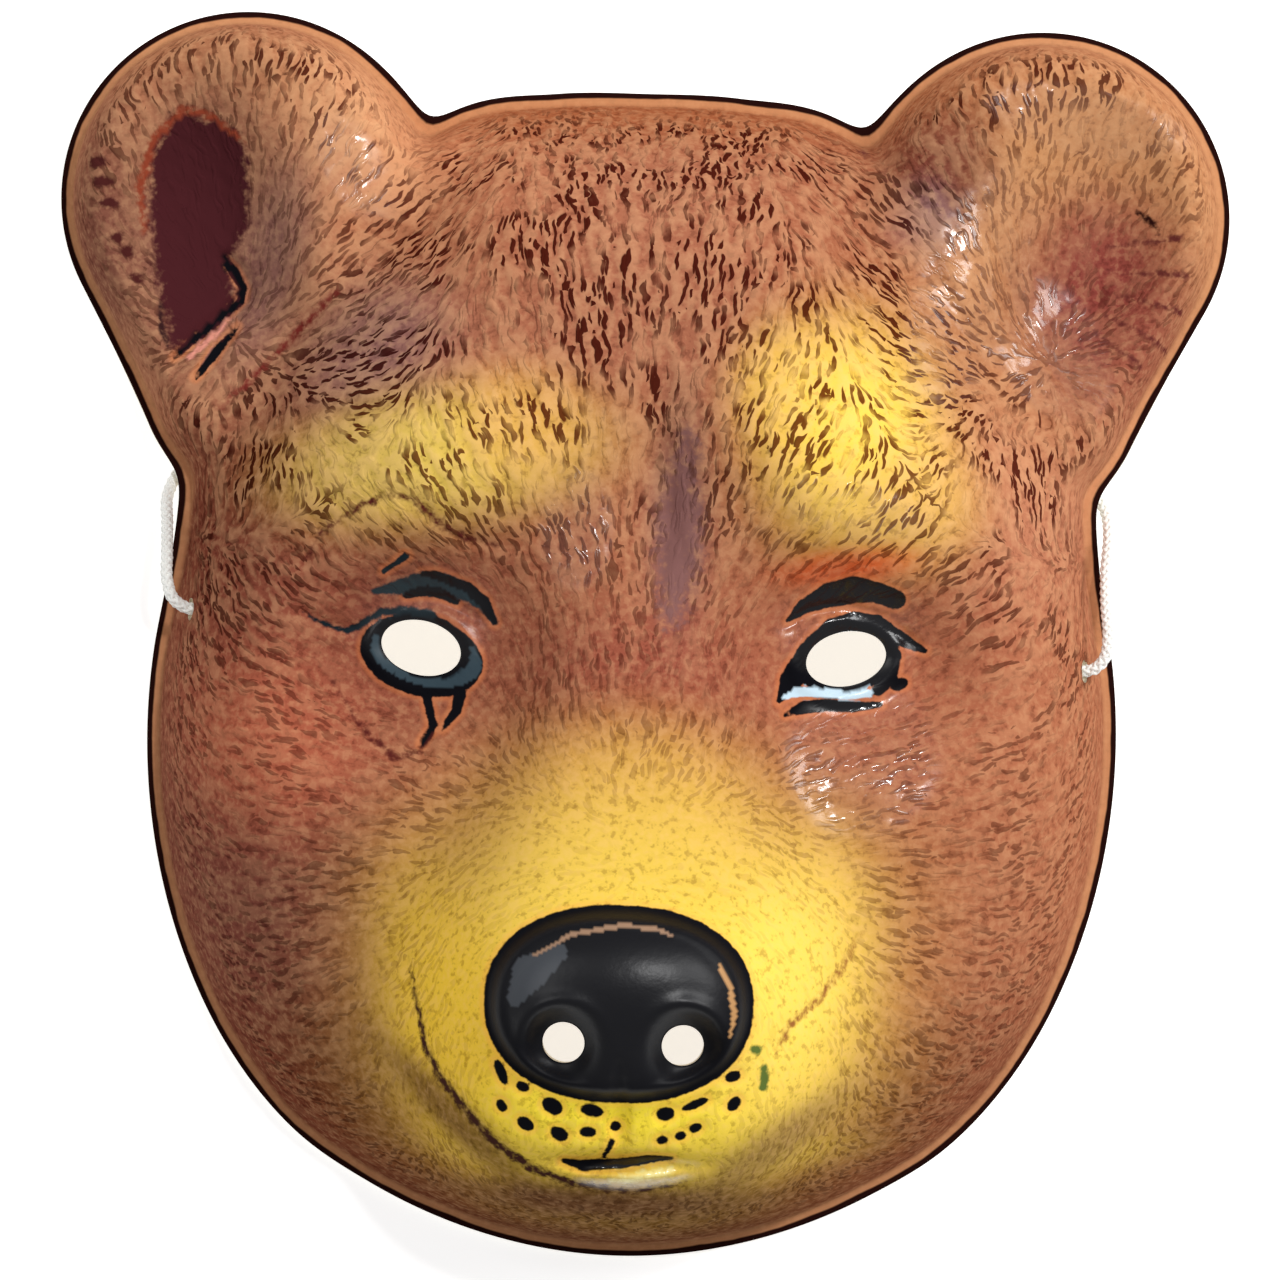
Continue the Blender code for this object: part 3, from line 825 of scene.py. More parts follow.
def moved_in(x, y, depth):
    """Points of the edge moved squarely in from it."""
    slope_x, slope_y = slopes(inset, x, y)
    size = np.hypot(slope_x, slope_y)
    return x + depth * slope_x / size, y + depth * slope_y / size


def lattice(step, reach_x, low_y, high_y):
    """An even field of points in rows set half a step over."""
    row_gap = step * math.sqrt(3) / 2
    rows = np.arange(math.floor(low_y / row_gap), math.ceil(high_y / row_gap) + 1)
    columns = np.arange(-math.ceil(reach_x / step), math.ceil(reach_x / step) + 1)
    row, column = np.meshgrid(rows, columns, indexing="ij")
    x = (column + (row % 2) / 2) * step
    return x.ravel(), (row * row_gap).ravel()


def hole_ring(hole, wider):
    """A ring of points round a hole, a little wider than it."""
    angles = np.linspace(0, 2 * math.pi, hole.points, endpoint=False)
    turn = math.radians(hole.tilt)
    along = (hole.half_length + wider) * np.cos(angles)
    aside = (hole.half_width + wider) * np.sin(angles)
    x = hole.x + along * math.cos(turn) - aside * math.sin(turn)
    y = hole.y + along * math.sin(turn) + aside * math.cos(turn)
    return x / 1000, y / 1000


def in_fine_zone(x, y):
    """Whether points lie where fine paint needs a finer mesh."""
    found = np.zeros(np.shape(x), bool)
    for zone in FINE_ZONES:
        found |= oval_distance(x * 1000, y * 1000, zone) < 0
    return found


def plan_points(edge, outside):
    """Plan points of one face of the sheet: its edge, its holes, and the field between."""
    loops = [edge] + [hole_ring(hole, 0) for hole in HOLES + TIE_HOLES]
    fields = []
    wall_shares = np.arange(1, WALL_ROWS + 1) / WALL_ROWS
    lips = [share * LIP for share in LIP_ROWS]
    walls = list(LIP + WALL_DEPTH * wall_shares**WALL_CROWDING)
    depths = lips + (walls if outside else walls[::INNER_ROW_STEP])
    for depth in depths:
        fields.append(moved_in(*edge, depth))
    step = OUTER_STEP if outside else INNER_STEP
    x, y = lattice(step, EAR_OUT + EAR_RADIUS, -CHIN_DROP, EAR_UP + EAR_RADIUS)
    field = inset(x, y) > depths[-1] + ROW_CLEARANCE * step
    if outside:
        field &= ~in_fine_zone(x, y)
    fields.append((x[field], y[field]))
    if outside:
        x, y = lattice(PAINT_STEP, EAR_OUT, -CHIN_DROP, CHIN_DROP)
        field = in_fine_zone(x, y)
        fields.append((x[field], y[field]))
    x = np.concatenate([part[0] for part in fields])
    y = np.concatenate([part[1] for part in fields])
    clear = np.ones(len(x), bool)
    for hole in HOLES + TIE_HOLES:
        margin = PAINT_STEP * 1000 + HOLE_RINGS[-1] if outside else INNER_HOLE_CLEARANCE
        clear &= oval_distance(x * 1000, y * 1000, hole) > margin
    x, y = x[clear], y[clear]
    if outside:
        rings = [hole_ring(hole, wider) for hole in HOLES for wider in HOLE_RINGS]
        x = np.concatenate([x] + [ring[0] for ring in rings])
        y = np.concatenate([y] + [ring[1] for ring in rings])
    return loops, x, y


def face_of_sheet(edge, outside):
    """One face of the sheet as plan points and triangles, its loops' points first."""
    loops, x, y = plan_points(edge, outside)
    sizes = [len(loop[0]) for loop in loops]
    starts = np.concatenate([[0], np.cumsum(sizes)]).tolist()
    all_x = np.concatenate([loop[0] for loop in loops] + [x])
    all_y = np.concatenate([loop[1] for loop in loops] + [y])
    rings = [list(range(starts[k], starts[k + 1])) for k in range(len(loops))]
    points = [Vector(point) for point in zip(all_x.tolist(), all_y.tolist())]
    flat, _, faces, *_ = delaunay_2d_cdt(points, [], rings, 2, 1e-8)
    if len(flat) != len(points):
        raise ValueError("two points of the sheet fell on one place")
    return rings, all_x, all_y, faces


def sink_below(points, triangles):
    """Lower the inner face where its flat triangles would come near the outer face."""
    for _ in range(SINK_ROUNDS):
        for shares in SINK_PLACES:
            place = sum(points[triangles[:, k]] * share for k, share in enumerate(shares))
            gap = outer_height(place[:, 0], place[:, 1]) - place[:, 2]
            near = gap < SHEET * SINK_SHARE
            drop = np.zeros(len(points))
            lacking = np.repeat(SHEET * SINK_SHARE - gap[near], 3)
            np.maximum.at(drop, triangles[near].ravel(), lacking)
            points[:, 2] -= drop


def make_sheet_mesh():
    """Both faces of the sheet, joined by walls at its edge and in its holes."""
    edge = outline()
    outer_rings, x, y, outer_faces = face_of_sheet(edge, True)
    outer = np.column_stack([x, y, outer_height(x, y)])
    inner_rings, x_in, y_in, inner_faces = face_of_sheet(edge, False)
    slope_x, slope_y = slopes(outer_height, x_in, y_in)
    normal = np.column_stack([-slope_x, -slope_y, np.ones(len(x_in))])
    normal /= np.linalg.norm(normal, axis=1)[:, None]
    inner = np.column_stack([x_in, y_in, outer_height(x_in, y_in)]) - SHEET * normal
    sink_below(inner, np.array(inner_faces))
    inner[:, 2] = np.maximum(inner[:, 2], 0)
    count = len(outer)
    faces = [list(face) for face in outer_faces]
    faces += [[count + corner for corner in reversed(face)] for face in inner_faces]
    for ring, (top, under) in enumerate(zip(outer_rings, inner_rings)):
        for k in range(len(top)):
            after = (k + 1) % len(top)
            wall = [top[k], top[after], count + under[after], count + under[k]]
            faces.append(wall if ring == 0 else wall[::-1])
    mesh = bpy.data.meshes.new("mask_sheet")
    mesh.from_pydata(np.vstack([outer, inner]).tolist(), [], faces)
    outside = np.zeros(len(mesh.vertices), bool)
    outside[:count] = True
    return mesh, outside


sheet_mesh, is_outside = make_sheet_mesh()

# Paint
# Colours are airbrushed over the tan-brown sheet; eyes, nose, whisker marks and mouth are then brushed
# on by hand. Some sprays and strokes hold painted shade, painted highlights and painted reflections,
# as said where they stand. Places and sizes are in millimetres, colours from 0 to 255.
Spray = namedtuple("Spray", "name x y half_length half_width tilt colour strength")
BASE_BROWN = (160, 98, 70)
SPRAYS = [
    # Where a left and a right spray pair up (cheeks, temples, jaws, eye surrounds, ears), the left one
    # is darker and the right one lighter: painted shade on the left side and painted light on the
    # right, over the mask's own airbrushed browns.
    Spray("left_cheek", -56, -36, 24, 46, 10, (104, 54, 48), 0.85),
    Spray("left_cheek_light", -52, -14, 15, 16, 0, (176, 94, 68), 0.8),
    Spray("right_cheek", 56, -24, 24, 44, -8, (168, 102, 72), 0.85),
    Spray("left_forehead", -34, 66, 26, 18, 0, (192, 118, 80), 0.6),
    Spray("forehead", 0, 54, 32, 24, 0, (160, 98, 74), 0.7),
    Spray("right_forehead", 38, 58, 24, 26, 0, (160, 94, 66), 0.7),
    Spray("top", 0, 84, 60, 9, 0, (150, 80, 44), 0.7),
    # A mauve-grey painted sheen on the left forehead: the glossy plastic's reflection.
    Spray("forehead_sheen", -41, 42, 13, 10, 30, (132, 94, 92), 0.8),
    Spray("left_temple", -62, 20, 13, 22, 0, (108, 50, 38), 0.85),
    Spray("right_temple", 62, 26, 15, 20, 0, (186, 120, 90), 0.7),
    # Chin and jaws: darker where the walls turn down and away from the light, partly the mask's own
    # darker airbrush near its edge and partly painted shade.
    Spray("chin", 0, -88, 50, 12, 0, (78, 38, 30), 0.9),
    Spray("left_jaw", -44, -76, 26, 16, -38, (104, 50, 36), 0.9),
    Spray("right_jaw", 46, -74, 26, 16, 38, (124, 66, 46), 0.8),
    Spray("left_eye_surround", -36, 2, 22, 16, -6, (132, 70, 54), 0.85),
    Spray("right_eye_surround", 34, -4, 22, 17, 6, (162, 92, 68), 0.7),
    # A mauve-grey painted sheen down the forehead's middle.
    Spray("groove", 6, 17, 4.5, 16, 0, (122, 84, 80), 0.7),
    Spray("left_brow", -29, 26, 21, 9, 8, (226, 196, 88), 0.85),
    Spray("left_brow_inner", -17, 31, 9, 8, 0, (214, 156, 78), 0.6),
    Spray("left_brow_outer", -42, 24, 10, 7, 10, (196, 162, 86), 0.5),
    Spray("right_brow", 31, 31, 13, 16, 0, (250, 208, 84), 0.95),
    Spray("right_brow_inner", 21, 38, 7, 8, 0, (232, 188, 84), 0.6),
    Spray("right_brow_outer", 41, 21, 9, 9, 0, (226, 178, 92), 0.7),
    Spray("bridge", 1, -7, 16, 13, 0, (142, 70, 56), 0.75),
    Spray("muzzle_top", 0, -23, 18, 11, 0, (206, 156, 74), 0.85),
    Spray("muzzle", 1, -40, 31, 18, 0, (226, 190, 78), 0.95),
    Spray("muzzle_low", 1, -60, 31, 20, 0, (240, 206, 72), 0.95),
    Spray("muzzle_left", -25, -56, 9, 19, 15, (230, 188, 56), 0.85),
    Spray("muzzle_right", 23, -52, 11, 20, -15, (250, 214, 92), 0.8),
    Spray("muzzle_dots", -1.6, -69, 17, 8, 0, (252, 226, 62), 0.9),
    # A darker yellow band along the mouth's fold: painted shade.
    Spray("muzzle_mouth_shade", 4, -74.5, 26, 3.5, 0, (222, 190, 70), 0.6),
    Spray("left_ear", -66, 60, 22, 26, 0, (176, 124, 92), 0.85),
    Spray("right_ear", 66, 60, 22, 26, 0, (214, 158, 104), 0.85),
    # Darker along the left ear's outer rim: painted shade, on the side away from the light.
    Spray("left_ear_rim_shade", -83, 58, 6, 20, 0, (104, 58, 50), 0.8),
    Spray("left_ear_top", -60, 86, 22, 6, -10, (168, 112, 78), 0.7),
    Spray("left_ear_inner_rim", -44, 76, 8, 13, 38, (208, 148, 106), 0.85),
    # A mauve-grey painted sheen on the left ear.
    Spray("left_ear_mauve", -57.5, 55, 6, 15, -14, (128, 88, 82), 0.85),
    # Darker inside the ears' hollows: painted shade, deeper in the left ear, away from the light.
    Spray("left_ear_hollow", -68.5, 60, 9.5, 20, -8, (110, 66, 58), 0.9),
    Spray("right_ear_inside", 70, 52, 15, 19, 10, (132, 60, 54), 0.9),
    Spray("right_ear_deep_shade", 70, 58, 9, 10, 10, (124, 54, 50), 0.7),
    Spray("right_ear_foot", 44, 71, 8, 11, -30, (98, 42, 38), 0.85),
    # A mauve-grey painted sheen at the right ear's foot.
    Spray("right_ear_mauve", 43, 65, 4, 5, 0, (140, 108, 108), 0.6),
    Spray("right_fringe", 31, 11.5, 10, 2.6, 8, (206, 82, 44), 0.8),
    # Darker bands along the muzzle's foot: painted shadow under the muzzle's steep lower side.
    Spray("muzzle_foot_left", -24, -70, 15, 3.0, -42, (92, 54, 40), 0.8),
    Spray("muzzle_foot_low", -2, -82, 22, 3.4, 0, (92, 54, 42), 0.85),
    Spray("muzzle_foot_right", 22, -73, 13, 3.4, 36, (138, 104, 66), 0.7),
]
SPRAY_EDGE = 1.6

Shape = namedtuple("Shape", "name kind colour soft place")
BLACK = (16, 16, 20)
TEAL = (24, 36, 42)
SLATE = (52, 66, 74)
MAROON = (84, 34, 30)
# A pale blue for a painted reflection on the right eye's lid.
REFLECTION_BLUE = (190, 214, 228)
SHAPES = [
    # The dark inside of the left ear's hollow is painted shade.
    Shape("left_ear_hollow", "stroke", (70, 30, 34), 7, [(-70, 75.5, 6), (-67.8, 70, 15), (-67.8, 63,
        15), (-69, 56, 11), (-67.6, 50, 11), (-70.6, 43, 2)]),
    Shape("left_ear_hollow_rim", "stroke", (138, 62, 42), 3, [(-61, 74, 0.8), (-66, 77.6, 1.0), (-70.4,
        78.6, 1.2), (-74.8, 74, 1.2), (-76.8, 67, 1.2), (-76.2, 60, 0.6)]),
    Shape("left_ear_base", "stroke", (116, 44, 38), 4, [(-33.8, 64.6, 0.4), (-42.6, 54.5, 1.0), (-51.6,
        45.5, 1.0), (-59, 37.7, 0.8), (-63.8, 32.8, 0.3)]),
    Shape("right_ear_foot", "stroke", (110, 58, 48), 4, [(33, 75.4, 1.0), (37.5, 69, 1.0), (42.4, 61.5,
        0.6)]),
    # The same mauve-grey painted sheen down the forehead's middle, with soft edges.
    Shape("brow_groove", "stroke", (128, 88, 84), 12, [(7.5, 30, 1.5), (6.5, 24, 3), (6.5, 18, 6), (6,
        10, 5), (5.5, 3, 2)]),
    Shape("nose", "nose", BLACK, 1, 0.9),
    # A grey painted reflection on the black nose's upper left.
    Shape("nose_grey_reflection", "stroke", (62, 65, 70), 5, [(-15.6, -51.5, 2.2), (-13.6, -47.8, 5.0), (-9.5,
        -44.6, 2.6)]),
    # Thin beige and tan lines inside the nose's black border: painted highlights.
    Shape("nose_line", "stroke", (150, 118, 94), 2, [(-13.1, -45.3, 0.3), (-7.8, -42.1, 0.6), (-0.7,
        -40.6, 0.7), (4.1, -40.9, 0.6), (6.5, -41.8, 0.3)]),
    Shape("nose_side_line", "stroke", (182, 136, 88), 2, [(13.2, -45.7, 0.3), (15.1, -49.3, 0.8),
        (15.7, -52.8, 0.8), (15.2, -55.9, 0.3)]),
    Shape("left_eye_black", "oval", BLACK, 1, Mark(-31.4, -3.2, 9.3, 5.9, -12)),
    Shape("left_eye_slate", "oval", SLATE, 2, Mark(-30.7, -3.1, 8.4, 4.5, -12)),
    Shape("left_eye_border", "oval", BLACK, 1, Mark(-31.0, -1.7, 7.0, 4.7, -13)),
    Shape("left_lid", "stroke", (36, 50, 56), 2, [(-38.6, 6.2, 0.8), (-35, 6.9, 2.4), (-31.6, 7.6,
        3.4), (-28.6, 7.4, 3.6), (-25.4, 6.6, 2.8), (-22.6, 4.8, 1.6), (-20.6, 2.0, 0.9)]),
    Shape("left_lid_line", "stroke", BLACK, 1, [(-33.8, 5.8, 1.1), (-30.8, 6.5, 1.6), (-28.5, 6.1,
        1.6), (-26.4, 4.9, 1.0)]),
    Shape("left_lid_top", "stroke", BLACK, 1, [(-31.5, 9.0, 0.7), (-29.5, 8.9, 1.3), (-24.7, 7.1, 1.7),
        (-22.3, 5, 1.9), (-20.6, 2.0, 1.0)]),
    Shape("left_lid_tick", "stroke", TEAL, 1, [(-37.2, 9.1, 0.6), (-33.8, 11.6, 1.1)]),
    Shape("left_lid_crease", "stroke", TEAL, 2, [(-48.9, 2.7, 0.3), (-46.1, 1.2, 0.7), (-42.5, 0.2,
        0.9), (-40, 1.6, 1.1), (-37.5, 3.2, 1.2), (-34, 3.4, 1.2), (-30, 3.0, 1.4)]),
    Shape("left_tear", "stroke", BLACK, 1, [(-30.6, -8.6, 1.4), (-29.3, -13.6, 1.2), (-30.9, -16.1,
        0.9)]),
    Shape("left_inner_tear", "stroke", BLACK, 1, [(-25.5, -8.4, 1.9), (-25.9, -11.1, 1.6), (-27.8,
        -13.8, 0.8)]),
    Shape("left_bag", "stroke", MAROON, 4, [(-44.5, -7.5, 0.1), (-40.6, -13.2, 0.5), (-37.8, -16, 0.7),
        (-35, -18.2, 0.8), (-31.4, -17.6, 0.6), (-29.6, -15.4, 0.2)]),
    Shape("left_brow_fold", "stroke", MAROON, 4, [(-48.8, 10.1, 0.2), (-46.2, 14.7, 0.6), (-41.1, 18.4,
        0.7), (-36.2, 20.4, 0.7), (-32.5, 19.8, 0.7), (-28, 15.8, 0.7), (-23.8, 14.1, 0.6), (-20.2,
        13.4, 0.2)]),
    Shape("right_eye_left", "stroke", BLACK, 1, [(21.6, -8.6, 0.8), (23.4, -5.4, 3.4), (25.8, -1.2,
        3.4), (29, 2.6, 2.4), (32.5, 3.9, 2.4), (36, 3.2, 2.8), (39.5, 1.2, 2.2), (43.2, -0.5, 0.9)]),
    Shape("right_eye_right", "stroke", BLACK, 1, [(36.5, 2.2, 3.2), (38.3, -1.5, 2.8), (37.9, -4.5,
        2.6), (36.4, -6.4, 2.0)]),
    Shape("right_eye_inner", "oval", BLACK, 1, Mark(31.2, -2.2, 7.4, 4.9, 13)),
    Shape("right_eye_spot", "oval", BLACK, 1, Mark(39.4, -5.5, 1.4, 1.0, 15)),
    # A pale blue painted reflection along the right eye's lower lid.
    Shape("right_eye_line", "stroke", REFLECTION_BLUE, 1, [(22.2, -8.0, 0.7), (24.6, -7.0, 1.5), (27.6, -7.1,
        1.4), (31.5, -7.4, 1.3), (35, -7.0, 1.2)]),
    Shape("right_eye_under", "stroke", BLACK, 1, [(22.6, -10.5, 0.7), (25.5, -9.3, 2.0), (29, -8.9,
        2.0), (33, -9.1, 1.6), (36.8, -8.6, 0.9)]),
    Shape("right_lid", "stroke", BLACK, 1, [(22.6, 3.4, 0.6), (25, 5.6, 2.2), (28.7, 7.4, 3.8), (32.5,
        8.3, 4.0), (35.5, 8.0, 3.2), (38.6, 7.0, 2.9)]),
    Shape("mouth", "stroke", BLACK, 1, [(-8.2, -75.4, 0.8), (-5.4, -76, 1.7), (0.4, -75.6, 1.7), (4,
        -74.8, 1.5), (7.4, -74.5, 0.6)]),
    # A cream painted highlight below the mouth.
    Shape("mouth_highlight", "stroke", (240, 226, 150), 4, [(-1, -78.0, 0.6), (3, -77.4, 1.2), (7.5, -76.4,
        0.8)]),
    Shape("lip_line", "stroke", BLACK, 1, [(-1.2, -72.0, 0.9), (-2.3, -74.4, 0.7)]),
    # A dark line along the muzzle's foot: painted shadow under its steep lower side.
    Shape("muzzle_foot", "stroke", (62, 36, 30), 3, [(-31.5, -48, 0.2), (-30, -54.3, 0.7), (-28.6,
        -60.1, 1.0), (-26.3, -64.1, 1.1), (-22.8, -68, 1.2), (-18.7, -72.7, 1.2), (-12.7, -76.8, 1.2),
        (-6.3, -79.0, 1.1), (2, -79.9, 0.8), (9, -78.6, 0.2)]),
    Shape("cheek_fold", "stroke", (150, 96, 50), 5, [(34.5, -42, 0.2), (31.3, -47.6, 0.8), (27.9,
        -51.7, 0.8), (23.9, -54.8, 0.8), (22.2, -58.2, 0.2)]),
    Shape("left_ear_fold", "stroke", BLACK, 1, [(-64.2, 56.6, 0.8), (-62.6, 54.6, 1.6), (-60.8, 51.9,
        1.2), (-61.3, 50, 1.3), (-65.2, 46.3, 1.2), (-68.9, 42.8, 1.1), (-70.6, 40.8, 0.6)]),
    # A pink painted highlight on the ridge between the left ear's two dark folds.
    Shape("left_ear_ridge_highlight", "stroke", (222, 146, 128), 2, [(-62.2, 47.6, 0.5), (-65.6, 43.8, 1.0),
        (-68.4, 40.8, 0.7)]),
    Shape("left_ear_under_fold", "stroke", BLACK, 1, [(-61.4, 46.0, 0.6), (-64.6, 41.8, 1.6), (-67.2,
        37.8, 0.9)]),
    Shape("left_ear_crease", "stroke", (54, 30, 30), 2, [(-73.2, 49, 0.5), (-72.8, 45, 0.9), (-71.6,
        42.6, 0.5)]),
    Shape("right_ear_crease", "stroke", (40, 16, 14), 2, [(74.5, 67.2, 0.4), (76.6, 65.8, 1.0), (78,
        64.2, 0.4)]),
    Shape("right_ear_hair", "stroke", (96, 44, 40), 3, [(70, 58, 0.3), (82.2, 57.2, 0.8)]),
    Shape("right_ear_hair", "stroke", (96, 44, 40), 3, [(72, 54.2, 0.3), (82, 51.9, 0.8)]),
    Shape("right_ear_hair", "stroke", (96, 44, 40), 3, [(70.2, 51.1, 0.3), (80.2, 46, 0.8)]),
    Shape("right_ear_hair", "stroke", (96, 44, 40), 3, [(68.5, 48.8, 0.3), (75.4, 43.2, 0.8)]),
    Shape("right_ear_hair", "stroke", (96, 44, 40), 3, [(70.4, 61.6, 0.3), (81, 63, 0.8)]),
    Shape("green_mark", "stroke", (92, 108, 50), 2, [(20.3, -60.8, 1.0), (20.3, -63.6, 1.3)]),
    Shape("green_mark", "oval", (92, 108, 50), 2, Mark(19.0, -58.2, 0.9, 0.7, 0)),
]
EAR_DOTS = [
    Mark(-83.0, 70.1, 1.4, 0.8, 10),
    Mark(-82.0, 67.3, 1.4, 0.8, 5),
    Mark(-81.4, 64.0, 1.4, 0.8, 0),
    Mark(-80.0, 58.9, 1.0, 0.8, 0),
    Mark(-78.3, 56.7, 1.2, 0.9, -10),
    Mark(-76.9, 52.8, 1.2, 0.8, -20),
]
SHAPES += [Shape("ear_dot", "oval", (72, 32, 30), 3, mark) for mark in EAR_DOTS]
SHAPES += [Shape("whisker", "oval", BLACK, 1, mark) for mark in WHISKER_MARKS]


def spray_share(x, y, spray):
    """How much of a spray's colour lies at points in millimetres."""
    along, aside = oval_axes(x, y, spray)
    return spray.strength * np.exp(-((along**2 + aside**2) ** SPRAY_EDGE) / 1.2)


def sprayed(x, y):
    """The airbrushed colour at points in millimetres."""
    colour = np.tile(srgb(*BASE_BROWN), (len(x), 1))
    for spray in SPRAYS:
        share = spray_share(x, y, spray)[:, None]
        colour = colour * (1 - share) + np.array(srgb(*spray.colour)) * share
    return colour


def brushed(x, y):
    """Brushed colour, how far points lie outside it, and outside its crisp strokes."""
    colour = np.tile(srgb(*BLACK), (len(x), 1))
    edge = np.full(len(x), 99.0)
    crisp = np.full(len(x), 99.0)
    for shape in SHAPES:
        if shape.kind == "nose":
            off = nose_distance(x, y) - shape.place
        elif shape.kind == "oval":
            off = oval_distance(x, y, shape.place)
        else:
            off = stroke_distance(x, y, shape.place)
        if shape.soft == 1:
            crisp = np.minimum(crisp, off)
        off = off / shape.soft
        covers = (off < 0) | (off < edge)
        colour[covers] = srgb(*shape.colour)
        edge = np.minimum(edge, off)
    return colour, edge, crisp


# How deep the moulded fur is, as a share, and how fully its paint is streaked
Patch = namedtuple("Patch", "name x y half_length half_width tilt share")
FUR_PATCHES = [
    Patch("cheeks", 0, -40, 90, 60, 0, 0.5),
    Patch("muzzle", 0, -52, 34, 34, 0, 0.10),
    Patch("chin", 0, -88, 34, 7, 0, 0.5),
    Patch("left_eye", -31, -1, 17, 13, -8, 0.12),
    Patch("right_eye", 31, -1, 17, 13, 8, 0.12),
    Patch("nose", -0.8, -52, 20, 15, 0, 0.0),
    Patch("left_ear", -66, 60, 20, 24, 0, 0.45),
    Patch("right_ear", 66, 60, 20, 24, 0, 0.45),
]
# Where the clear varnish lies thickest and shines
GLOSS_PATCHES = [
    Patch("nose", -0.8, -52, 19, 14, 0, 0.5),
    Patch("right_cheek", 34, -17, 12, 11, 30, 1.0),
    Patch("right_brow", 31, 20, 11, 4.5, -12, 1.0),
    Patch("brow_middle", -9, 16, 5.5, 9, 0, 1.0),
    Patch("left_ear", -44, 70, 4.5, 9, 32, 1.0),
    Patch("right_ear_foot", 49, 54, 8, 20, -20, 1.0),
    Patch("right_ear_fold", 62, 46, 8, 12, 30, 1.0),
    Patch("right_ear_rim", 66, 80, 15, 5, -10, 1.0),
    Patch("lids", 32, 3, 12, 8, 0, 0.8),
    Patch("left_lids", -31, 3, 12, 9, 0, 0.6),
    Patch("mouth", 3, -77, 9, 2.4, 6, 1.0),
]
BARE_RIM = 1.5
FUR_FADE = 5
FLOW_MIDDLE = (0, -32)
EAR_FLOW_MIDDLE = (62, 44)


def patched(x, y, patches, start):
    """A share that starts even and is led to each patch's own at its place."""
    share = np.full(len(x), float(start))
    for patch in patches:
        along, aside = oval_axes(x, y, patch)
        covered = np.exp(-((along**2 + aside**2) ** 3))
        share = share * (1 - covered) + patch.share * covered
    return share


def fur_flow(x, y, normal):
    """Which way the hair runs: out from the muzzle, and out from each ear's foot."""
    on_ear = np.clip(1 + ear_inset(x / 1000, y / 1000) / EAR_FADE, 0, 1)[:, None]
    face = np.column_stack([x - FLOW_MIDDLE[0], y - FLOW_MIDDLE[1]])
    ear = np.column_stack([x - np.sign(x) * EAR_FLOW_MIDDLE[0], y - EAR_FLOW_MIDDLE[1]])
    face /= np.linalg.norm(face, axis=1)[:, None] + 1e-6
    ear /= np.linalg.norm(ear, axis=1)[:, None] + 1e-6
    flat = face * (1 - on_ear) + ear * on_ear
    flow = np.column_stack([flat, np.zeros(len(x))])
    flow -= normal * np.sum(flow * normal, axis=1)[:, None]
    return flow / (np.linalg.norm(flow, axis=1)[:, None] + 1e-9)


def store(mesh, name, kind, values, domain="POINT"):
    """Keep values on the mesh's points or faces under a name."""
    attribute = mesh.attributes.new(name, kind, domain)
    field = {"FLOAT": "value", "FLOAT_VECTOR": "vector", "BOOLEAN": "value"}
    attribute.data.foreach_set(field.get(kind, "color"), np.asarray(values).ravel())


def paint_sheet(mesh, outside):
    """Store the sheet's paint, fur and edge on its points."""
    points = np.empty(len(mesh.vertices) * 3)
    mesh.vertices.foreach_get("co", points)
    x, y = points[0::3], points[1::3]
    slope_x, slope_y = slopes(plain_height, x, y)
    normal = np.column_stack([-slope_x, -slope_y, np.ones(len(x))])
    normal /= np.linalg.norm(normal, axis=1)[:, None]
    rim = inset(x, y) * 1000
    x, y = x * 1000, y * 1000
    colour, edge, crisp = brushed(x, y)
    inside = np.clip((rim - BARE_RIM) / FUR_FADE, 0, 1)
    store(mesh, "paint", "FLOAT_COLOR", sprayed(x, y))
    store(mesh, "brush", "FLOAT_COLOR", colour)
    store(mesh, "brush_edge", "FLOAT", edge)
    store(mesh, "crisp_edge", "FLOAT", crisp)
    store(mesh, "rim", "FLOAT", rim)
    store(mesh, "fur", "FLOAT", patched(x, y, FUR_PATCHES, 1) * inside)
    store(mesh, "gloss", "FLOAT", patched(x, y, GLOSS_PATCHES, 0))
    store(mesh, "fur_flow", "FLOAT_VECTOR", fur_flow(x, y, normal))
    painted = [all(outside[c] for c in polygon.vertices) for polygon in mesh.polygons]
    store(mesh, "outside", "BOOLEAN", painted, "FACE")


paint_sheet(sheet_mesh, is_outside)


Strokes = namedtuple("Strokes", "cell length width layers shift")
TUFTS = Strokes(0.0065, 0.0075, 0.0017, 7, 0.031)
TUFT_DEPTH = 0.00045
TUFT_WAVE = 140.0
TUFT_BEND = 0.003
HAIRS = Strokes(0.0036, 0.0036, 0.00075, 3, 0.017)
HAIR_WAVE = 220.0
HAIR_BEND = 0.003
HAIR_DEPTH = 0.0002
MOTTLE_SCALE = 800.0
CLOUD_SCALE = 90.0


def add_strokes(tree, place, flow, normal, strokes):
    """Short overlapping strokes that follow the hair's run, as a share of their height."""
    cell, length, width, layers, shift = strokes
    side = vectors(tree, "CROSS_PRODUCT", normal, flow)
    highest = None
    for layer in range(layers):
        moved = vectors(tree, "ADD", place, (shift * (layer + 1), shift * layer, shift))
        cells = add_node(
            tree,
            "ShaderNodeTexVoronoi",
            {"voronoi_dimensions": "3D", "feature": "F1"},
            Vector=moved,
            Scale=1 / cell,
        )
        off = vectors(tree, "SUBTRACT", moved, cells.outputs["Position"])
        along = maths(tree, "DIVIDE", vectors(tree, "DOT_PRODUCT", off, flow), length / 2)
        across = maths(tree, "DIVIDE", vectors(tree, "DOT_PRODUCT", off, side), width / 2)
        reach = maths(
            tree, "ADD", maths(tree, "MULTIPLY", along, along),
            maths(tree, "MULTIPLY", across, across),
        )
        stroke = maths(tree, "MAXIMUM", maths(tree, "SUBTRACT", 1.0, reach), 0.0)
        highest = stroke if highest is None else maths(tree, "MAXIMUM", highest, stroke)
    return highest


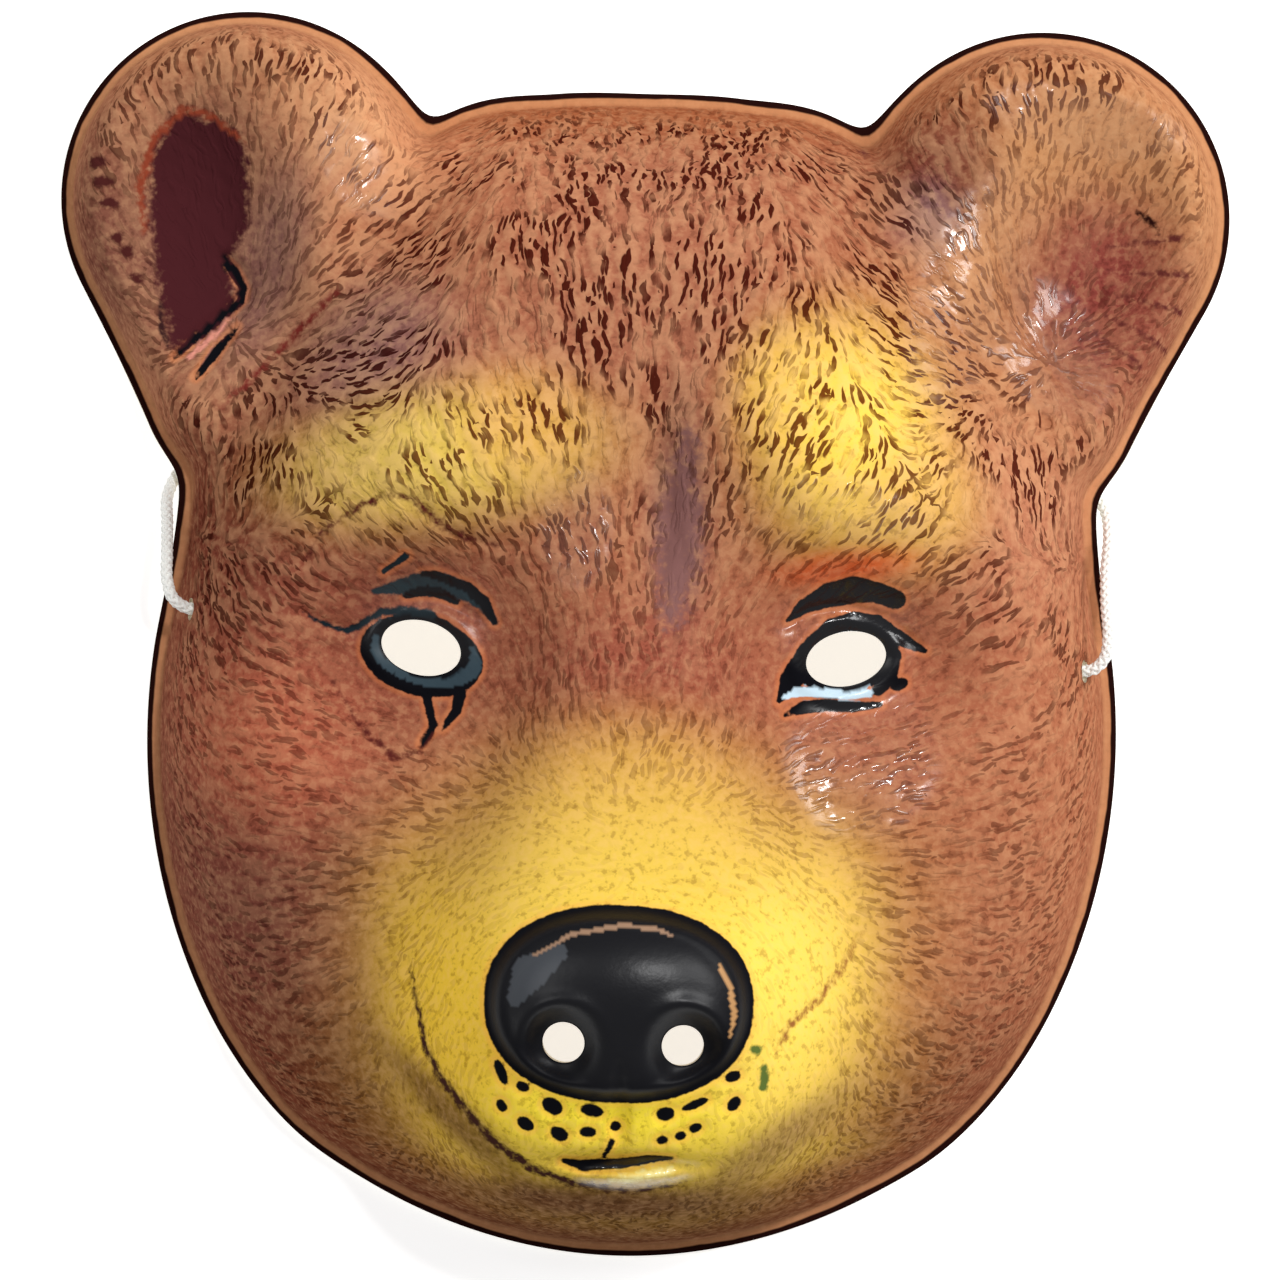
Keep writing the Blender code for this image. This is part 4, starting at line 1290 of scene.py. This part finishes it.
def make_fur_tree():
    """Tufts of moulded hair raised on the sheet's outer face, and its two materials."""
    kinds = {"Depth": "Float", "Painted": "Material", "Bare": "Material"}
    tree, given = new_tree("fur", kinds)
    place = tree.nodes.new("GeometryNodeInputPosition").outputs[0]
    normal = tree.nodes.new("GeometryNodeInputNormal").outputs[0]
    read = {}
    for name, kind in (("fur", "FLOAT"), ("fur_flow", "FLOAT_VECTOR"), ("outside", "BOOLEAN")):
        node = add_node(tree, "GeometryNodeInputNamedAttribute", {"data_type": kind}, Name=name)
        read[name] = node.outputs["Attribute"]
    warped = waved(tree, place, TUFT_WAVE, TUFT_BEND)
    tufts = add_strokes(tree, warped, read["fur_flow"], normal, TUFTS)
    kept = add_node(
        tree,
        "GeometryNodeStoreNamedAttribute",
        {"data_type": "FLOAT", "domain": "POINT"},
        Geometry=given["Geometry"],
        Name="tufts",
        Value=tufts,
    )
    height = maths(tree, "MULTIPLY", maths(tree, "MULTIPLY", tufts, read["fur"]), given["Depth"])
    moved = add_node(
        tree,
        "GeometryNodeSetPosition",
        Geometry=kept.outputs[0],
        Selection=read["outside"],
        Offset=scaled(tree, normal, height),
    )
    bare = add_node(
        tree, "GeometryNodeSetMaterial", Geometry=moved.outputs[0], Material=given["Bare"]
    )
    painted = add_node(
        tree,
        "GeometryNodeSetMaterial",
        Geometry=bare.outputs[0],
        Selection=read["outside"],
        Material=given["Painted"],
    )
    close_tree(tree, painted.outputs[0])
    return tree


def mixed(tree, share, first, second, blend="MIX"):
    """Two colours mixed by a share."""
    node = add_node(
        tree,
        "ShaderNodeMix",
        {"data_type": "RGBA", "blend_type": blend, "clamp_factor": True},
        in0=share,
        in6=first,
        in7=second,
    )
    return node.outputs[2]


def stepped(tree, value, low, high, first=0.0, last=1.0):
    """A value led from one range to another, held at its ends."""
    node = add_node(tree, "ShaderNodeMapRange", {"interpolation_type": "SMOOTHSTEP"})
    tree.links.new(value, node.inputs[0])
    for key, number in enumerate((low, high, first, last), 1):
        node.inputs[key].default_value = number
    return node.outputs[0]


def read_attribute(tree, name, output="Fac"):
    """A value kept on the mesh."""
    return add_node(tree, "ShaderNodeAttribute", {"attribute_name": name}).outputs[output]


def make_fur_brown():
    """Airbrushed plastic: mottled, streaked with darker hairs, brushed, and varnished; the tufts'
    crests carry painted highlights and the cut edge a painted shade line.
    """
    material, tree, shader = new_material("fur_brown")
    place = tree.nodes.new("ShaderNodeTexCoord").outputs["Object"]
    normal = tree.nodes.new("ShaderNodeNewGeometry").outputs["Normal"]
    fur = read_attribute(tree, "fur")
    flow = read_attribute(tree, "fur_flow", "Vector")
    hairs = add_strokes(tree, waved(tree, place, HAIR_WAVE, HAIR_BEND), flow, normal, HAIRS)
    mottle = add_node(
        tree, "ShaderNodeTexNoise", Vector=place, Scale=MOTTLE_SCALE, Detail=2.0, Roughness=0.6
    ).outputs["Fac"]
    cloud = add_node(
        tree, "ShaderNodeTexNoise", Vector=place, Scale=CLOUD_SCALE, Detail=3.0, Roughness=0.6
    ).outputs["Fac"]
    paint = read_attribute(tree, "paint", "Color")
    dark = mixed(tree, 1.0, paint, srgb(116, 78, 78), "MULTIPLY")
    light = mixed(tree, 0.4, paint, srgb(240, 190, 140))
    tufts = read_attribute(tree, "tufts")
    colour = mixed(tree, stepped(tree, mottle, 0.48, 0.66, 0.0, 0.3), paint, light)
    colour = mixed(tree, stepped(tree, mottle, 0.46, 0.32, 0.0, 0.35), colour, dark)
    # Lighter paint on the crests of the raised tufts: painted highlights.
    crest = maths(tree, "MULTIPLY", stepped(tree, tufts, 0.35, 0.9), fur)
    colour = mixed(tree, maths(tree, "MULTIPLY", crest, 0.4), colour, light)
    streaked = maths(tree, "MULTIPLY", stepped(tree, hairs, 0.15, 0.5), fur)
    ragged_streaks = maths(tree, "MULTIPLY", streaked, stepped(tree, cloud, 0.38, 0.56))
    colour = mixed(tree, ragged_streaks, colour, dark)
    rim = read_attribute(tree, "rim")
    wobble = maths(tree, "MULTIPLY", maths(tree, "SUBTRACT", cloud, 0.5), 0.8)
    band = maths(tree, "ADD", rim, wobble)
    # Near the cut edge: a lighter tan band, then a dark line at the very edge, which is painted shade
    # on the lip's steep wall.
    colour = mixed(tree, stepped(tree, band, 1.4, 2.6, 0.6, 0.0), colour, srgb(212, 152, 106))
    colour = mixed(tree, stepped(tree, band, 0.7, 1.0, 1.0, 0.0), colour, srgb(34, 14, 12))
    ragged = maths(tree, "MULTIPLY", maths(tree, "SUBTRACT", mottle, 0.5), 0.5)
    edge = maths(tree, "ADD", read_attribute(tree, "brush_edge"), ragged)
    halo = stepped(tree, read_attribute(tree, "crisp_edge"), 0.2, 1.0, 0.4, 0.0)
    bright = mixed(tree, 0.5, paint, srgb(255, 150, 84))
    colour = mixed(tree, halo, colour, bright)
    brush = read_attribute(tree, "brush", "Color")
    colour = mixed(tree, stepped(tree, edge, -0.14, 0.14, 1.0, 0.0), colour, brush)
    tree.links.new(colour, shader.inputs["Base Color"])
    gloss = read_attribute(tree, "gloss")
    roughness = stepped(tree, gloss, 0.2, 0.9, 0.46, 0.16)
    tree.links.new(roughness, shader.inputs["Roughness"])
    mirror = stepped(tree, gloss, 0.1, 0.9, 0.0, 0.5)
    tree.links.new(mirror, shader.inputs["Specular IOR Level"])
    relief = maths(tree, "MULTIPLY", hairs, fur)
    grain = maths(tree, "MULTIPLY_ADD", mottle, 0.25, relief)
    bump = add_node(tree, "ShaderNodeBump", Height=grain, Distance=HAIR_DEPTH, Strength=0.8)
    tree.links.new(bump.outputs[0], shader.inputs["Normal"])
    return material


def make_bare_plastic():
    """The sheet's own off-white plastic, seen inside and at the cut edges."""
    material, tree, shader = new_material("bare_plastic", Roughness=0.4)
    place = tree.nodes.new("ShaderNodeTexCoord").outputs["Object"]
    cloud = add_node(tree, "ShaderNodeTexNoise", Vector=place, Scale=60.0, Detail=3.0)
    colour = mixed(tree, cloud.outputs["Fac"], srgb(226, 214, 190), srgb(204, 190, 164))
    tree.links.new(colour, shader.inputs["Base Color"])
    return material


sheet = bpy.data.objects.new("mask_sheet_soft", sheet_mesh)
bpy.context.scene.collection.objects.link(sheet)
fur_modifier = sheet.modifiers.new("fur", "NODES")
fur_modifier.node_group = make_fur_tree()
fur_inputs = {
    "Depth": TUFT_DEPTH,
    "Painted": make_fur_brown(),
    "Bare": make_bare_plastic(),
}
set_inputs(fur_modifier, fur_inputs)
sheet = settled(sheet, "mask_face")
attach(sheet, "root")
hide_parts("mask_shell")

# Floor and lights
# A pale floor, lit evenly, under one small bright softbox at the upper right and weaker
# broad ones, as in the photograph's glints.
FLOOR_DROP = 0.0003
FLOOR_SIZE = 3.0
FLOOR_GLOW = 0.7


def make_floor():
    """A plain pale floor just under the mask's rim."""
    mesh = bpy.data.meshes.new("floor")
    half = FLOOR_SIZE / 2
    corners = [(-half, -half), (half, -half), (half, half), (-half, half)]
    mesh.from_pydata([(x, y, -FLOOR_DROP) for x, y in corners], [], [(0, 1, 2, 3)])
    material, tree, shader = new_material(
        "pale_floor", Roughness=0.9, Emission_Strength=FLOOR_GLOW
    )
    place = tree.nodes.new("ShaderNodeTexCoord").outputs["Object"]
    cloud = add_node(tree, "ShaderNodeTexNoise", Vector=place, Scale=3.0)
    colour = mixed(tree, cloud.outputs["Fac"], srgb(236, 236, 236), srgb(232, 232, 232))
    tree.links.new(colour, shader.inputs["Base Color"])
    tree.links.new(colour, shader.inputs["Emission Color"])
    mesh.materials.append(material)
    floor = bpy.data.objects.new("floor", mesh)
    bpy.context.scene.collection.objects.link(floor)
    return floor


make_floor()

Light = namedtuple("Light", "name place size watts")
LIGHTS = [
    Light("key", (0.20, 0.24, 0.80), 0.05, 2.6),
    Light("right", (0.75, 0.45, 0.75), 0.50, 7.5),
    Light("left", (-0.70, 0.30, 0.80), 0.60, 2.5),
]
WORLD_STRENGTH = 0.35

for light in LIGHTS:
    data = bpy.data.lights.new(light.name, "AREA")
    data.size = light.size
    data.energy = light.watts
    lamp = bpy.data.objects.new(light.name, data)
    lamp.location = light.place
    lamp.rotation_euler = (-Vector(light.place)).to_track_quat("-Z", "Y").to_euler()
    bpy.context.scene.collection.objects.link(lamp)
world = bpy.data.worlds.new("world")
world.use_nodes = True
world.node_tree.nodes["Background"].inputs["Strength"].default_value = WORLD_STRENGTH
world.node_tree.nodes["Background"].inputs["Color"].default_value = srgb(255, 255, 255)
bpy.context.scene.world = world
